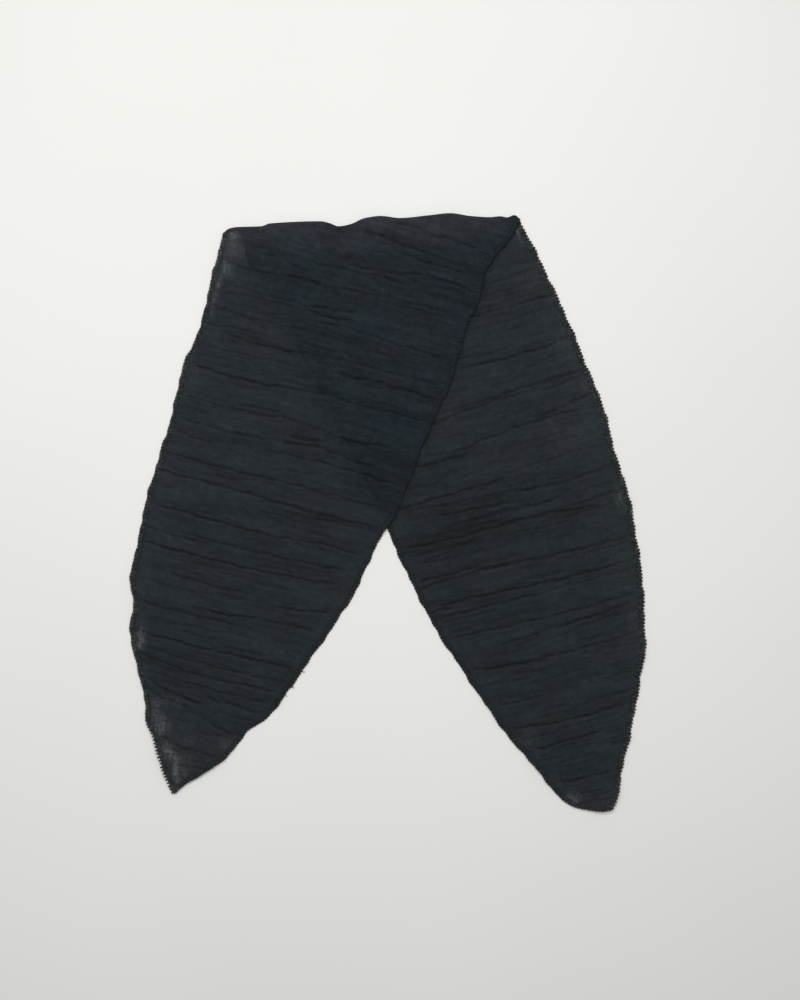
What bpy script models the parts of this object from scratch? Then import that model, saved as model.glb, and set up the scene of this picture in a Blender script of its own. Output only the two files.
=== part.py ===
"""A skinny scarf, folded once across its middle and laid flat on a surface.

The scarf is one long strip of light crinkled cloth with pointed ends and an overlocked edge. Its lower
stretch, under_leg, runs down to the right. Its upper stretch, over_leg, lies on that one near the fold
and runs down to the left, and fold_turn is the soft turn that joins the two along the top. Each stretch
has an overlocked bead along its left and its right edge.

Tables and sizes are in millimetres. +X is to the right, +Y is up the page, +Z is up off the surface.
"""

import math
from collections import namedtuple

import bpy
from mathutils import Vector
from mathutils.geometry import delaunay_2d_cdt

MM = 0.001

# The page point that becomes the origin: the middle of the whole laid-out scarf.
MIDDLE = Vector((-0.1, 0.73))

# Driving sizes of the cloth and its edge.
WALL = 1.6
SEAM_GAP = 0.3
THREAD_STAND = 0.8
HEM_WIDTH = 3.6
HEM_HEIGHT = 1.8
HEM_SIDES = 6
BEAD_FULLNESS = 0.6
LAYER = HEM_HEIGHT + SEAM_GAP
CREASE_HALF_WIDTH = 1.5
CREASE_END_SHARE = 0.25

# How the upper stretch comes down off the lower one.
RAMP_FLAT = 4.5
RAMP_RUN = 9.0
RAMP_LINES = 4

# Spacing of the points along an edge and along a crease.
EDGE_STEP = 7.0
CREASE_STEP = 13.0
CREASE_MARGIN = 1.6
TIP_CLEAR = 1.0

# The turn of the cloth at the fold: how far in its round face starts, the cloth left between that face
# and the slit, and where the round face's shoulders stand as shares of its depth and half height.
TURN_ROUND = 2.2
TURN_WALL = 1.8
SHOULDER_IN = 0.3
SHOULDER_HEIGHT = 0.72
SEAM_LEFT = Vector((-125.0, 204.5))
SEAM_RIGHT = Vector((105.0, 214.5))
FOLD_STEP = 9.0

SMOOTH_ANGLE = math.radians(40)

# Settings of the triangulation: keep what is inside the outline, and merge points this close.
CDT_INSIDE_ONLY = 1
CDT_MERGE = 0.02

CLOTH_COLOUR = (0.018, 0.022, 0.026, 1.0)
CLOTH_ROUGHNESS = 0.85
THREAD_COLOUR = (0.012, 0.014, 0.013, 1.0)
THREAD_ROUGHNESS = 0.65

# The outer line of the fold from left to right, with how far the turn puffs up over the two layers.
FoldPoint = namedtuple("FoldPoint", "x y puff")
FOLD = [
    FoldPoint(-123.6, 207.4, 0.0),
    FoldPoint(-121.5, 210.2, 0.1),
    FoldPoint(-118.0, 212.4, 0.2),
    FoldPoint(-113.5, 213.8, 0.3),
    FoldPoint(-94.0, 214.9, 0.5),
    FoldPoint(-88.0, 217.0, 0.6),
    FoldPoint(-50.5, 218.6, 0.7),
    FoldPoint(-43.0, 217.2, 0.4),
    FoldPoint(-37.0, 215.0, 0.1),
    FoldPoint(-28.0, 216.4, 0.4),
    FoldPoint(-17.0, 220.9, 0.9),
    FoldPoint(-5.0, 222.5, 1.0),
    FoldPoint(9.5, 221.0, 0.7),
    FoldPoint(30.0, 222.9, 0.8),
    FoldPoint(47.0, 224.6, 0.9),
    FoldPoint(62.0, 222.5, 0.6),
    FoldPoint(77.0, 221.7, 0.4),
    FoldPoint(85.0, 223.0, 0.4),
    FoldPoint(95.0, 223.6, 0.3),
    FoldPoint(98.4, 222.2, 0.1),
    FoldPoint(100.8, 220.0, 0.0),
]

# Each stretch has a frame of its own. Its origin is a corner of the fold, along runs down the stretch
# and across runs to the right over it. The tables give the cut line of the cloth.
EdgePoint = namedtuple("EdgePoint", "along across")

OVER_LEFT_EDGE = [
    EdgePoint(62.0, -207.0),
    EdgePoint(80.0, -208.0),
    EdgePoint(105.0, -209.0),
    EdgePoint(130.0, -208.2),
    EdgePoint(150.0, -210.5),
    EdgePoint(172.0, -214.0),
    EdgePoint(205.0, -213.2),
    EdgePoint(240.0, -215.0),
    EdgePoint(280.0, -216.5),
    EdgePoint(302.0, -214.8),
    EdgePoint(322.0, -215.0),
    EdgePoint(338.0, -212.0),
    EdgePoint(350.0, -206.8),
    EdgePoint(366.0, -205.2),
    EdgePoint(380.0, -201.0),
    EdgePoint(400.0, -189.8),
    EdgePoint(420.0, -180.6),
    EdgePoint(432.0, -176.8),
    EdgePoint(445.0, -168.0),
    EdgePoint(460.0, -159.0),
    EdgePoint(472.0, -150.5),
    EdgePoint(481.0, -143.5),
]

OVER_RIGHT_EDGE = [
    EdgePoint(0.0, 0.0),
    EdgePoint(19.0, -4.0),
    EdgePoint(34.0, -9.3),
    EdgePoint(46.0, -12.2),
    EdgePoint(62.0, -11.9),
    EdgePoint(78.0, -13.7),
    EdgePoint(92.0, -16.3),
    EdgePoint(127.0, -17.2),
    EdgePoint(146.0, -20.0),
    EdgePoint(182.0, -26.5),
    EdgePoint(224.0, -32.5),
    EdgePoint(246.0, -37.0),
    EdgePoint(262.0, -42.6),
    EdgePoint(280.0, -46.0),
    EdgePoint(298.0, -49.2),
    EdgePoint(320.0, -56.0),
    EdgePoint(360.0, -71.0),
    EdgePoint(380.0, -78.6),
    EdgePoint(400.0, -85.6),
    EdgePoint(411.0, -92.0),
    EdgePoint(421.0, -100.6),
    EdgePoint(440.0, -111.0),
    EdgePoint(452.0, -118.6),
    EdgePoint(461.0, -127.0),
    EdgePoint(472.0, -137.4),
    EdgePoint(481.0, -143.5),
]

UNDER_LEFT_EDGE = [
    EdgePoint(0.0, 1.0),
    EdgePoint(20.0, 7.5),
    EdgePoint(46.0, 17.5),
    EdgePoint(75.0, 27.0),
    EdgePoint(110.0, 36.0),
    EdgePoint(152.0, 46.0),
    EdgePoint(205.0, 59.0),
    EdgePoint(243.0, 66.8),
    EdgePoint(258.0, 69.3),
    EdgePoint(280.0, 73.8),
    EdgePoint(300.0, 78.5),
    EdgePoint(320.0, 83.6),
    EdgePoint(340.0, 89.6),
    EdgePoint(360.0, 97.0),
    EdgePoint(380.0, 104.2),
    EdgePoint(400.0, 112.5),
    EdgePoint(420.0, 121.2),
    EdgePoint(440.0, 133.0),
    EdgePoint(460.0, 142.0),
    EdgePoint(471.0, 148.5),
    EdgePoint(479.0, 155.5),
    EdgePoint(484.0, 166.5),
    EdgePoint(487.0, 176.0),
    EdgePoint(487.5, 182.0),
]

UNDER_RIGHT_EDGE = [
    EdgePoint(42.0, 213.0),
    EdgePoint(60.0, 218.2),
    EdgePoint(90.0, 225.0),
    EdgePoint(130.0, 233.0),
    EdgePoint(172.0, 239.6),
    EdgePoint(190.0, 243.0),
    EdgePoint(235.0, 244.6),
    EdgePoint(260.0, 247.0),
    EdgePoint(300.0, 245.0),
    EdgePoint(320.0, 243.5),
    EdgePoint(350.0, 238.4),
    EdgePoint(370.0, 234.4),
    EdgePoint(380.0, 232.0),
    EdgePoint(390.0, 227.5),
    EdgePoint(420.0, 215.0),
    EdgePoint(440.0, 206.0),
    EdgePoint(450.0, 200.5),
    EdgePoint(470.0, 192.0),
    EdgePoint(481.0, 187.2),
    EdgePoint(487.5, 182.0),
]

# The main creases of each stretch, from the fold down. A crease runs from start to end across the cloth.
# Along is its middle, rise is how much further down it ends than it starts, and bow is how far its middle
# hangs below the line between its ends. Depth is that of its trough.
Crease = namedtuple("Crease", "start end along rise bow depth")

OVER_CREASES = [
    Crease(-83, -18, 27.5, 4.0, 1.0, 0.32),
    Crease(-105, -38, 41.5, 6.0, -0.5, 0.45),
    Crease(-80, -22, 48.3, 3.5, 1.0, 0.35),
    Crease(-115, -68, 62.0, -2.0, 2.3, 0.35),
    Crease(-66, -18, 61.6, 2.3, -2.6, 0.45),
    Crease(-146, -72, 69.0, -2.0, 0.2, 0.30),
    Crease(-163, -138, 73.5, 6.0, 2.0, 0.35),
    Crease(-203, -160, 84.0, 1.0, 2.5, 0.30),
    Crease(-158, -130, 84.4, 0.2, -0.8, 0.50),
    Crease(-128, -28, 83.5, -3.0, -1.5, 0.32),
    Crease(-132, -99, 99.8, -3.5, 0.8, 0.50),
    Crease(-132, -98, 105.8, -0.5, 0.6, 0.50),
    Crease(-96, -26, 113.3, 3.5, 1.0, 0.35),
    Crease(-200, -130, 120.0, 0.0, 1.3, 0.30),
    Crease(-186, -136, 138.1, 0.2, 0.8, 0.50),
    Crease(-133, -98, 136.8, -2.9, -0.4, 0.36),
    Crease(-95, -22, 135.3, -0.5, 0.6, 0.36),
    Crease(-100, -24, 146.8, 1.0, -1.2, 0.45),
    Crease(-206, -126, 165.2, -0.7, 2.2, 0.50),
    Crease(-123, -83, 165.2, 0.3, -2.1, 0.42),
    Crease(-80, -28, 165.2, -0.3, -0.6, 0.38),
    Crease(-206, -131, 188.7, -0.7, 1.8, 0.36),
    Crease(-128, -94, 189.3, 2.5, -0.3, 0.30),
    Crease(-88, -50, 191.6, -2.7, 0.4, 0.48),
    Crease(-124, -100, 198.5, -1.0, 1.2, 0.40),
    Crease(-204, -131, 205.7, -1.3, 2.2, 0.38),
    Crease(-128, -100, 204.3, -2.0, 0.0, 0.48),
    Crease(-96, -58, 205.5, 4.5, 0.8, 0.45),
    Crease(-207, -178, 218.0, 2.0, 0.3, 0.36),
    Crease(-134, -42, 215.6, 1.7, -1.8, 0.38),
    Crease(-208, -124, 234.2, 0.8, 1.3, 0.42),
    Crease(-120, -44, 235.2, 1.2, 0.2, 0.36),
    Crease(-213, -163, 248.5, 0.3, 0.2, 0.45),
    Crease(-158, -48, 250.0, 2.9, 1.0, 0.50),
    Crease(-108, -76, 255.8, -2.5, 0.0, 0.36),
    Crease(-210, -116, 274.9, 2.7, 0.3, 0.48),
    Crease(-112, -52, 275.0, -2.0, -2.0, 0.45),
    Crease(-182, -62, 289.0, -2.0, 1.3, 0.42),
    Crease(-212, -133, 303.5, 1.0, 0.6, 0.48),
    Crease(-129, -66, 302.0, -4.0, 0.2, 0.45),
    Crease(-186, -128, 321.5, 1.0, 1.3, 0.36),
    Crease(-101, -64, 324.3, -5.0, 0.3, 0.42),
    Crease(-160, -115, 340.2, -2.9, 1.1, 0.50),
    Crease(-111, -72, 338.1, -1.0, -0.5, 0.40),
    Crease(-202, -128, 347.0, 0.0, 0.6, 0.36),
    Crease(-200, -142, 369.5, 1.5, 0.3, 0.48),
    Crease(-138, -80, 369.0, -2.0, -0.1, 0.45),
    Crease(-192, -86, 379.5, 1.0, 1.8, 0.36),
    Crease(-194, -145, 387.1, 6.3, 1.2, 0.45),
    Crease(-140, -90, 389.5, -2.0, 0.0, 0.42),
    Crease(-178, -94, 397.5, 1.0, 0.9, 0.36),
    Crease(-182, -139, 406.2, 8.5, 2.2, 0.50),
    Crease(-135, -98, 406.0, 2.0, 0.0, 0.45),
    Crease(-176, -146, 414.0, 5.0, 0.2, 0.36),
    Crease(-131, -113, 425.2, 4.9, -0.3, 0.36),
    Crease(-146, -121, 446.5, -1.0, -0.8, 0.45),
]

UNDER_CREASES = [
    Crease(176, 216, 81.5, -5.0, 0.3, 0.30),
    Crease(150, 221, 102.9, -2.2, 0.8, 0.42),
    Crease(144, 182, 133.0, 0.0, 0.8, 0.30),
    Crease(152, 228, 138.6, -3.7, 1.5, 0.45),
    Crease(196, 230, 146.4, -7.2, 0.5, 0.32),
    Crease(112, 182, 172.8, -8.5, -1.2, 0.40),
    Crease(160, 233, 164.5, -5.5, -0.2, 0.42),
    Crease(138, 190, 196.0, -6.0, -1.2, 0.42),
    Crease(194, 237, 185.5, -9.5, -0.6, 0.45),
    Crease(86, 142, 202.2, -0.5, 3.1, 0.46),
    Crease(162, 230, 222.0, -6.0, -0.4, 0.30),
    Crease(76, 160, 230.3, -5.0, 0.2, 0.48),
    Crease(84, 160, 237.3, 2.6, 0.0, 0.36),
    Crease(164, 238, 237.2, -2.7, 3.1, 0.42),
    Crease(104, 158, 244.9, 1.8, 0.3, 0.42),
    Crease(108, 167, 252.8, -3.0, -0.6, 0.38),
    Crease(170, 199, 251.3, -1.4, 0.7, 0.50),
    Crease(98, 150, 257.7, -0.7, 0.4, 0.34),
    Crease(76, 140, 262.1, -0.3, 0.9, 0.48),
    Crease(143, 220, 262.6, 1.3, -1.8, 0.48),
    Crease(80, 130, 269.2, -0.5, -0.3, 0.38),
    Crease(162, 198, 269.8, 0.5, 0.0, 0.32),
    Crease(81, 126, 288.6, -1.2, 0.2, 0.48),
    Crease(128, 238, 290.6, 1.3, 1.5, 0.42),
    Crease(92, 128, 310.1, -0.3, -0.7, 0.45),
    Crease(131, 236, 309.4, -1.2, 1.3, 0.50),
    Crease(90, 168, 318.7, -1.3, -0.4, 0.45),
    Crease(96, 164, 336.0, 0.5, 0.0, 0.45),
    Crease(168, 233, 334.6, -3.3, 0.8, 0.38),
    Crease(172, 231, 342.4, -5.6, 0.8, 0.48),
    Crease(128, 170, 347.2, -4.3, 0.2, 0.36),
    Crease(107, 167, 364.2, 2.8, 1.2, 0.45),
    Crease(170, 227, 364.3, -2.6, 0.0, 0.36),
    Crease(118, 150, 392.4, 1.2, 1.0, 0.38),
    Crease(198, 220, 390.2, -1.5, 0.2, 0.30),
    Crease(126, 204, 412.3, 1.0, 2.6, 0.48),
    Crease(140, 186, 430.0, -2.5, -0.2, 0.46),
    Crease(150, 188, 459.0, 0.0, 0.8, 0.36),
    Crease(163, 180, 471.0, 0.0, 0.3, 0.32),
]

# A stretch of the strip: its frame, turned by an angle about its corner, and its tables.
Stretch = namedtuple("Stretch", "name corner turn left_edge right_edge creases")
OVER_CORNER, OVER_TURN = Vector((95.6, 222.4)), math.radians(-14)
UNDER_CORNER, UNDER_TURN = Vector((-119.6, 212.6)), math.radians(13)
OVER = Stretch("over", OVER_CORNER, OVER_TURN, OVER_LEFT_EDGE, OVER_RIGHT_EDGE, OVER_CREASES)
UNDER = Stretch("under", UNDER_CORNER, UNDER_TURN, UNDER_LEFT_EDGE, UNDER_RIGHT_EDGE, UNDER_CREASES)

# An edge of a stretch: the outer line of its bead, how a step out from that line runs at each point,
# and the sign that turns a direction down the edge into the direction out of the cloth.
Edge = namedtuple("Edge", "points outward")
LEFT, RIGHT = -1, 1


def to_page(stretch, across, along):
    """Place a point of a stretch's own frame on the page."""
    cos, sin = math.cos(stretch.turn), math.sin(stretch.turn)
    return stretch.corner + Vector((across * cos + along * sin, across * sin - along * cos))


def to_stretch(stretch, point):
    """Give the (across, along) of a point of the page in a stretch's frame."""
    cos, sin = math.cos(stretch.turn), math.sin(stretch.turn)
    x, y = point - stretch.corner
    return x * cos + y * sin, x * sin - y * cos


def curve_through(points, step):
    """Run a smooth curve through the points, with about one step between the points that it returns."""
    path = []
    last = len(points) - 1
    for i in range(last):
        before, here = points[max(i - 1, 0)], points[i]
        there, after = points[i + 1], points[min(i + 2, last)]
        count = max(1, round((there - here).length / step))
        for k in range(count):
            t = k / count
            bend = 2 * before - 5 * here + 4 * there - after
            twist = 3 * here - before - 3 * there + after
            path.append(here + 0.5 * (t * (there - before) + t * t * bend + t ** 3 * twist))
    path.append(points[last])
    return path


def seam_height(x):
    """Give the y of the straight line where the turn ends and the two stretches begin."""
    return SEAM_LEFT.y + (x - SEAM_LEFT.x) * (SEAM_RIGHT.y - SEAM_LEFT.y) / (SEAM_RIGHT.x - SEAM_LEFT.x)


def cut_at_seam(path):
    """Drop what an edge has above the seam at the fold, and start it one gap below that line."""
    below = [point.y < seam_height(point.x) - SEAM_GAP for point in path]
    first = below.index(True)
    if first == 0:
        return path
    above, under = path[first - 1], path[first]
    drop_above = above.y - seam_height(above.x) + SEAM_GAP
    drop_under = under.y - seam_height(under.x) + SEAM_GAP
    start = above.lerp(under, drop_above / (drop_above - drop_under))
    return [start] + path[first:]


def edge_of(stretch, rows, side):
    """Build the outer line of one edge, where the thread stands off the cut cloth, and its steps outward."""
    corners = [to_page(stretch, row.across, row.along) for row in rows]
    path = cut_at_seam(curve_through(corners, EDGE_STEP))
    normals = []
    for a, b in zip(path, path[1:]):
        run = (b - a).normalized()
        normals.append(side * Vector((-run.y, run.x)))
    outward = []
    for before, after in zip(normals[:1] + normals, normals + normals[-1:]):
        middle = (before + after).normalized()
        outward.append(middle / middle.dot(after))
    seam = (SEAM_RIGHT - SEAM_LEFT).normalized() * side
    outward[0] = seam / seam.dot(normals[0])
    return Edge([point + step * THREAD_STAND for point, step in zip(path, outward)], outward)


def meet_at_tip(left, right):
    """Mitre both edges of a stretch at its tip, and leave a gap between the two beads there."""
    tip = left.points[-1]
    down_left = (tip - left.points[-2]).normalized()
    down_right = (tip - right.points[-2]).normalized()
    out = (down_left + down_right).normalized()
    for edge, run, side in ((left, down_left, LEFT), (right, down_right, RIGHT)):
        normal = side * Vector((-run.y, run.x))
        edge.outward[-1] = out / out.dot(normal)
        # The mitre takes up this much of the edge, so no section stands in it.
        setback = (HEM_WIDTH + SEAM_GAP) * abs(run.dot(out) / run.cross(out)) + TIP_CLEAR
        while (edge.points[-2] - tip).length < setback:
            del edge.points[-2], edge.outward[-2]
    right.points[-1] = tip - down_right * (SEAM_GAP / abs(down_right.cross(out)))


def moved_in(edge, inset):
    """Give the line that lies this far inside an edge."""
    return [point - step * inset for point, step in zip(edge.points, edge.outward)]


def panel_outline(left, right):
    """Give the outline of the cloth between its two beads, counterclockwise from the top of its left edge."""
    inset = HEM_WIDTH + SEAM_GAP
    down = moved_in(left, inset)
    up = moved_in(right, inset)[::-1]
    return down[:-1] + up


def footprint(left, right):
    """Give the outline of a whole stretch with its beads."""
    return left.points + right.points[-2::-1]


def signed_distance(outline, point):
    """Give how far a point lies from an outline, as a negative number inside it."""
    inside = False
    nearest = math.inf
    for a, b in zip(outline, outline[1:] + outline[:1]):
        side = b - a
        t = min(max((point - a).dot(side) / side.length_squared, 0.0), 1.0)
        nearest = min(nearest, (point - a - side * t).length)
        if (a.y > point.y) != (b.y > point.y):
            inside ^= point.x < a.x + side.x * (point.y - a.y) / side.y
    return -nearest if inside else nearest


def ramp(distance):
    """Give the height of the upper stretch's underside this far outside the lower stretch."""
    t = min(max((distance - RAMP_FLAT) / RAMP_RUN, 0.0), 1.0)
    return LAYER * (1.0 - t * t * (3.0 - 2.0 * t))


def crease_line(stretch, crease, offset):
    """Give a crease's trough, or a line beside it, as points of the page."""
    count = max(3, round((crease.end - crease.start) / CREASE_STEP) + 1)
    line = []
    for k in range(count):
        t = k / (count - 1)
        across = crease.start + (crease.end - crease.start) * t
        along = crease.along + crease.rise * (t - 0.5) + crease.bow * 4 * t * (1 - t)
        line.append(to_page(stretch, across, along + offset))
    return line


def crease_depth(stretch, point):
    """Give how far the creases press the top of the cloth in at a point."""
    across, along = to_stretch(stretch, point)
    deepest = 0.0
    for crease in stretch.creases:
        t = (across - crease.start) / (crease.end - crease.start)
        if not 0.0 < t < 1.0:
            continue
        middle = crease.along + crease.rise * (t - 0.5) + crease.bow * 4 * t * (1 - t)
        away = abs(along - middle) / CREASE_HALF_WIDTH
        if away < 1.0:
            fade = min(1.0, min(t, 1 - t) / CREASE_END_SHARE)
            deepest = max(deepest, crease.depth * (1 - away * away) * fade)
    return deepest


def keep_inside(outline, line):
    """Split a line into the stretches of it that stay well inside an outline."""
    runs, run = [], []
    for point in line:
        if signed_distance(outline, point) < -CREASE_MARGIN:
            run.append(point)
        elif run:
            runs.append(run)
            run = []
    runs.append(run)
    return [run for run in runs if len(run) > 1]


def triangulate(outline, lines):
    """Fill an outline with triangles whose sides follow the lines, and return its points and faces."""
    points = list(outline)
    count = len(outline)
    sides = [(i, (i + 1) % count) for i in range(count)]
    for line in lines:
        start = len(points)
        points.extend(line)
        sides.extend((i, i + 1) for i in range(start, len(points) - 1))
    found, _, faces, *_ = delaunay_2d_cdt(points, sides, [], CDT_INSIDE_ONLY, CDT_MERGE)
    return [Vector(point) for point in found], faces


def add_object(name, vertices, faces, material):
    """Make one closed solid from points in millimetres."""
    mesh = bpy.data.meshes.new(name)
    mesh.from_pydata([((x - MIDDLE.x) * MM, (y - MIDDLE.y) * MM, z * MM) for x, y, z in vertices], [], faces)
    mesh.validate()
    mesh.shade_smooth()
    mesh.set_sharp_from_angle(angle=SMOOTH_ANGLE)
    mesh.materials.append(material)
    solid = bpy.data.objects.new(name, mesh)
    bpy.context.scene.collection.objects.link(solid)
    return solid


def build_panel(name, stretch, outline, base, ramp_lines, material):
    """Build the wall of one stretch: a creased top, an underside that follows what it lies on, and sides."""
    creases = []
    for crease in stretch.creases:
        for offset in (-CREASE_HALF_WIDTH, 0.0, CREASE_HALF_WIDTH):
            creases += keep_inside(outline, crease_line(stretch, crease, offset))
    ramps = [part for line in ramp_lines for part in keep_inside(outline, line)]
    top, top_faces = triangulate(outline, creases + ramps)
    bottom, bottom_faces = triangulate(outline, ramps)
    vertices = [(p.x, p.y, base(p) + WALL - crease_depth(stretch, p)) for p in top]
    vertices += [(p.x, p.y, base(p)) for p in bottom]
    shift = len(top)
    faces = [tuple(face) for face in top_faces]
    faces += [tuple(i + shift for i in reversed(face)) for face in bottom_faces]
    count = len(outline)
    for i in range(count):
        j = (i + 1) % count
        faces.append((i, i + shift, j + shift, j))
    add_object(name, vertices, faces, material)


def bead_profile():
    """Give the section of the overlocked edge as (step out from its outer line, height) pairs."""
    half = HEM_WIDTH / 2
    profile = []
    for k in range(HEM_SIDES + 1):
        angle = math.pi * k / HEM_SIDES
        profile.append((-half + half * math.cos(angle), HEM_HEIGHT * math.sin(angle) ** BEAD_FULLNESS))
    profile[0] = (profile[0][0], 0.0)
    profile[-1] = (profile[-1][0], 0.0)
    return profile


def loft(name, rings, material):
    """Join rings of points into one closed solid with flat ends."""
    size = len(rings[0])
    vertices = [point for ring in rings for point in ring]
    faces = [tuple(range(size))[::-1]]
    for i in range(len(rings) - 1):
        for k in range(size):
            a, b = i * size + k, i * size + (k + 1) % size
            faces.append((a, b, b + size, a + size))
    faces.append(tuple(range((len(rings) - 1) * size, len(rings) * size)))
    add_object(name, vertices, faces, material)


def build_bead(name, edge, side, base, material):
    """Build the overlocked bead that runs down one edge."""
    profile = bead_profile()
    if side == LEFT:
        profile = profile[::-1]
    rings = []
    for point, step in zip(edge.points, edge.outward):
        height = base(point - step * (HEM_WIDTH / 2))
        rings.append([(*(point + step * out), height + z) for out, z in profile])
    loft(name, rings, material)


def turn_profile(y, seam, puff):
    """Give the section of the fold's turn at one place, from the lower layer round to the upper one."""
    top = LAYER + WALL
    middle = top / 2
    slit_end = y - TURN_WALL
    return [
        (seam, 0.0),
        (y - TURN_ROUND, 0.0),
        (y - SHOULDER_IN * TURN_ROUND, (1 - SHOULDER_HEIGHT) * middle),
        (y, middle),
        (y - SHOULDER_IN * TURN_ROUND, (1 + SHOULDER_HEIGHT) * middle),
        (y - TURN_ROUND, top + puff),
        ((y - TURN_ROUND + seam) / 2, top + puff / 2),
        (seam, top),
        (seam, LAYER),
        (slit_end - SEAM_GAP, LAYER),
        (slit_end, middle),
        (slit_end - SEAM_GAP, WALL),
        (seam, WALL),
    ]


def build_turn(material):
    """Build the soft turn of the cloth along the fold."""
    line = curve_through([Vector((p.x, p.y, p.puff)) for p in FOLD], FOLD_STEP)
    rings = []
    for x, y, puff in line:
        profile = turn_profile(y, seam_height(x), puff)
        rings.append([(x, depth, z) for depth, z in profile])
    loft("fold_turn", rings, material)


def make_material(name, colour, roughness):
    """Make a plain Principled material."""
    material = bpy.data.materials.new(name)
    material.use_nodes = True
    shader = material.node_tree.nodes["Principled BSDF"]
    shader.inputs["Base Color"].default_value = colour
    shader.inputs["Roughness"].default_value = roughness
    shader.inputs["Metallic"].default_value = 0.0
    material.diffuse_color = colour
    return material


def main():
    for found in list(bpy.data.objects):
        bpy.data.objects.remove(found, do_unlink=True)
    cloth = make_material("cloth", CLOTH_COLOUR, CLOTH_ROUGHNESS)
    thread = make_material("thread", THREAD_COLOUR, THREAD_ROUGHNESS)

    edges = {}
    for stretch in (UNDER, OVER):
        left = edge_of(stretch, stretch.left_edge, LEFT)
        right = edge_of(stretch, stretch.right_edge, RIGHT)
        meet_at_tip(left, right)
        edges[stretch.name] = (left, right)

    under_left, under_right = edges["under"]
    under_area = footprint(under_left, under_right)

    def on_surface(point):
        return 0.0

    def on_lower_stretch(point):
        return ramp(signed_distance(under_area, point))

    ramp_lines = []
    for k in range(RAMP_LINES + 1):
        reach = RAMP_FLAT + RAMP_RUN * k / RAMP_LINES
        ramp_lines.append([p + step * reach for p, step in zip(under_left.points, under_left.outward)])

    for stretch, base, lines in ((UNDER, on_surface, []), (OVER, on_lower_stretch, ramp_lines)):
        left, right = edges[stretch.name]
        build_panel(stretch.name + "_leg", stretch, panel_outline(left, right), base, lines, cloth)
        build_bead(stretch.name + "_leg_left_edge", left, LEFT, base, thread)
        build_bead(stretch.name + "_leg_right_edge", right, RIGHT, base, thread)
    build_turn(cloth)


main()
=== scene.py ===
"""The looks of a skinny scarf, folded once across its middle and laid flat on a pale table.

The scarf is one strip of thin black crinkled cloth with an overlocked edge. Two cloth shells follow the
frame's solids: the upper stretch with the turn at the fold, and the lower stretch under it. Both carry the
creases of the real cloth, the main ones from a table and the faint ones from a seeded draw. The overlocked
edges are real loops of thread, laid stitch by stitch along each side of each stretch.

Sizes in the tables are millimetres in a stretch's own frame: along runs down the stretch from the fold and
across runs to the right over it.
"""

import logging
import math
from dataclasses import dataclass, field
from enum import Enum
from typing import Callable, NamedTuple

import bpy
import numpy as np
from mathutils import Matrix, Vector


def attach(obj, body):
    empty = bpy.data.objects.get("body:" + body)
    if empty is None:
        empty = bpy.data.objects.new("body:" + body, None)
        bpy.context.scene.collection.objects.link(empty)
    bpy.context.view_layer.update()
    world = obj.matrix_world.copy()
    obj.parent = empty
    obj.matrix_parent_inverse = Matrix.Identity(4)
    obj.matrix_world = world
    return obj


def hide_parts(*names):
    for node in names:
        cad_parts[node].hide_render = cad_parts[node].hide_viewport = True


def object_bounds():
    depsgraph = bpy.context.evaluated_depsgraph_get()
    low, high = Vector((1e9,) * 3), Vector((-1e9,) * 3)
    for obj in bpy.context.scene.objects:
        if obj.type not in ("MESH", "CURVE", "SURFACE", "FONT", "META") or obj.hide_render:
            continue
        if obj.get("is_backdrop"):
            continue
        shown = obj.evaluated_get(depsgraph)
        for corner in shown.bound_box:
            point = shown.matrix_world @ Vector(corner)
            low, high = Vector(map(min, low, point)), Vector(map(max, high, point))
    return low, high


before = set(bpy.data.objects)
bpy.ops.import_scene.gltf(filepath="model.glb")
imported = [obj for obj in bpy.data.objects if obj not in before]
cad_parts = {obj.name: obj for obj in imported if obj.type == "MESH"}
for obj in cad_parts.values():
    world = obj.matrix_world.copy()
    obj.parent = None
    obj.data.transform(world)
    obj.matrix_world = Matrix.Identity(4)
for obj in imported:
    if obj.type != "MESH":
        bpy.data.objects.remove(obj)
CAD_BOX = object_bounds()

log = logging.getLogger("skinny_scarf")

MM = 0.001
Array = np.ndarray

# The page point of the tables that is the frame's origin.
MIDDLE = np.array([-0.1, 0.73])

# Height of the upper stretch's underside where it lies on the lower one.
LAYER = 2.1

# How many points each side of an outline has where only distances are read off it.
OUTLINE_POINTS = 90

# Where the last stretch of a cut edge begins and how soon it is in full force, as shares of the edge.
TIP_START = 0.87
TIP_EASE = 0.05


class Side(Enum):
    """The two long sides of a stretch, as the sign of the direction out of the cloth."""

    LEFT = -1
    RIGHT = 1


class EdgeRow(NamedTuple):
    """One point of a cut edge."""

    along: float
    across: float


class FoldRow(NamedTuple):
    """One point of the fold's outer line on the page, and how far the turn puffs up there."""

    x: float
    y: float
    puff: float


class Crease(NamedTuple):
    """One crease: its ends across the cloth, its middle along it, how far it rises and bows, its depth."""

    start: float
    end: float
    along: float
    rise: float
    bow: float
    depth: float


class Patch(NamedTuple):
    """One soft round place on the cloth, with how much it adds at its middle."""

    across: float
    along: float
    wide: float
    high: float
    strength: float


class Lift(NamedTuple):
    """One place where the cloth stands a little off the table."""

    across: float
    along: float
    reach: float
    height: float


class Waves(NamedTuple):
    """Sine waves that are added up: the length and the height of each."""

    lengths: tuple[float, ...]
    heights: tuple[float, ...]


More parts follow.
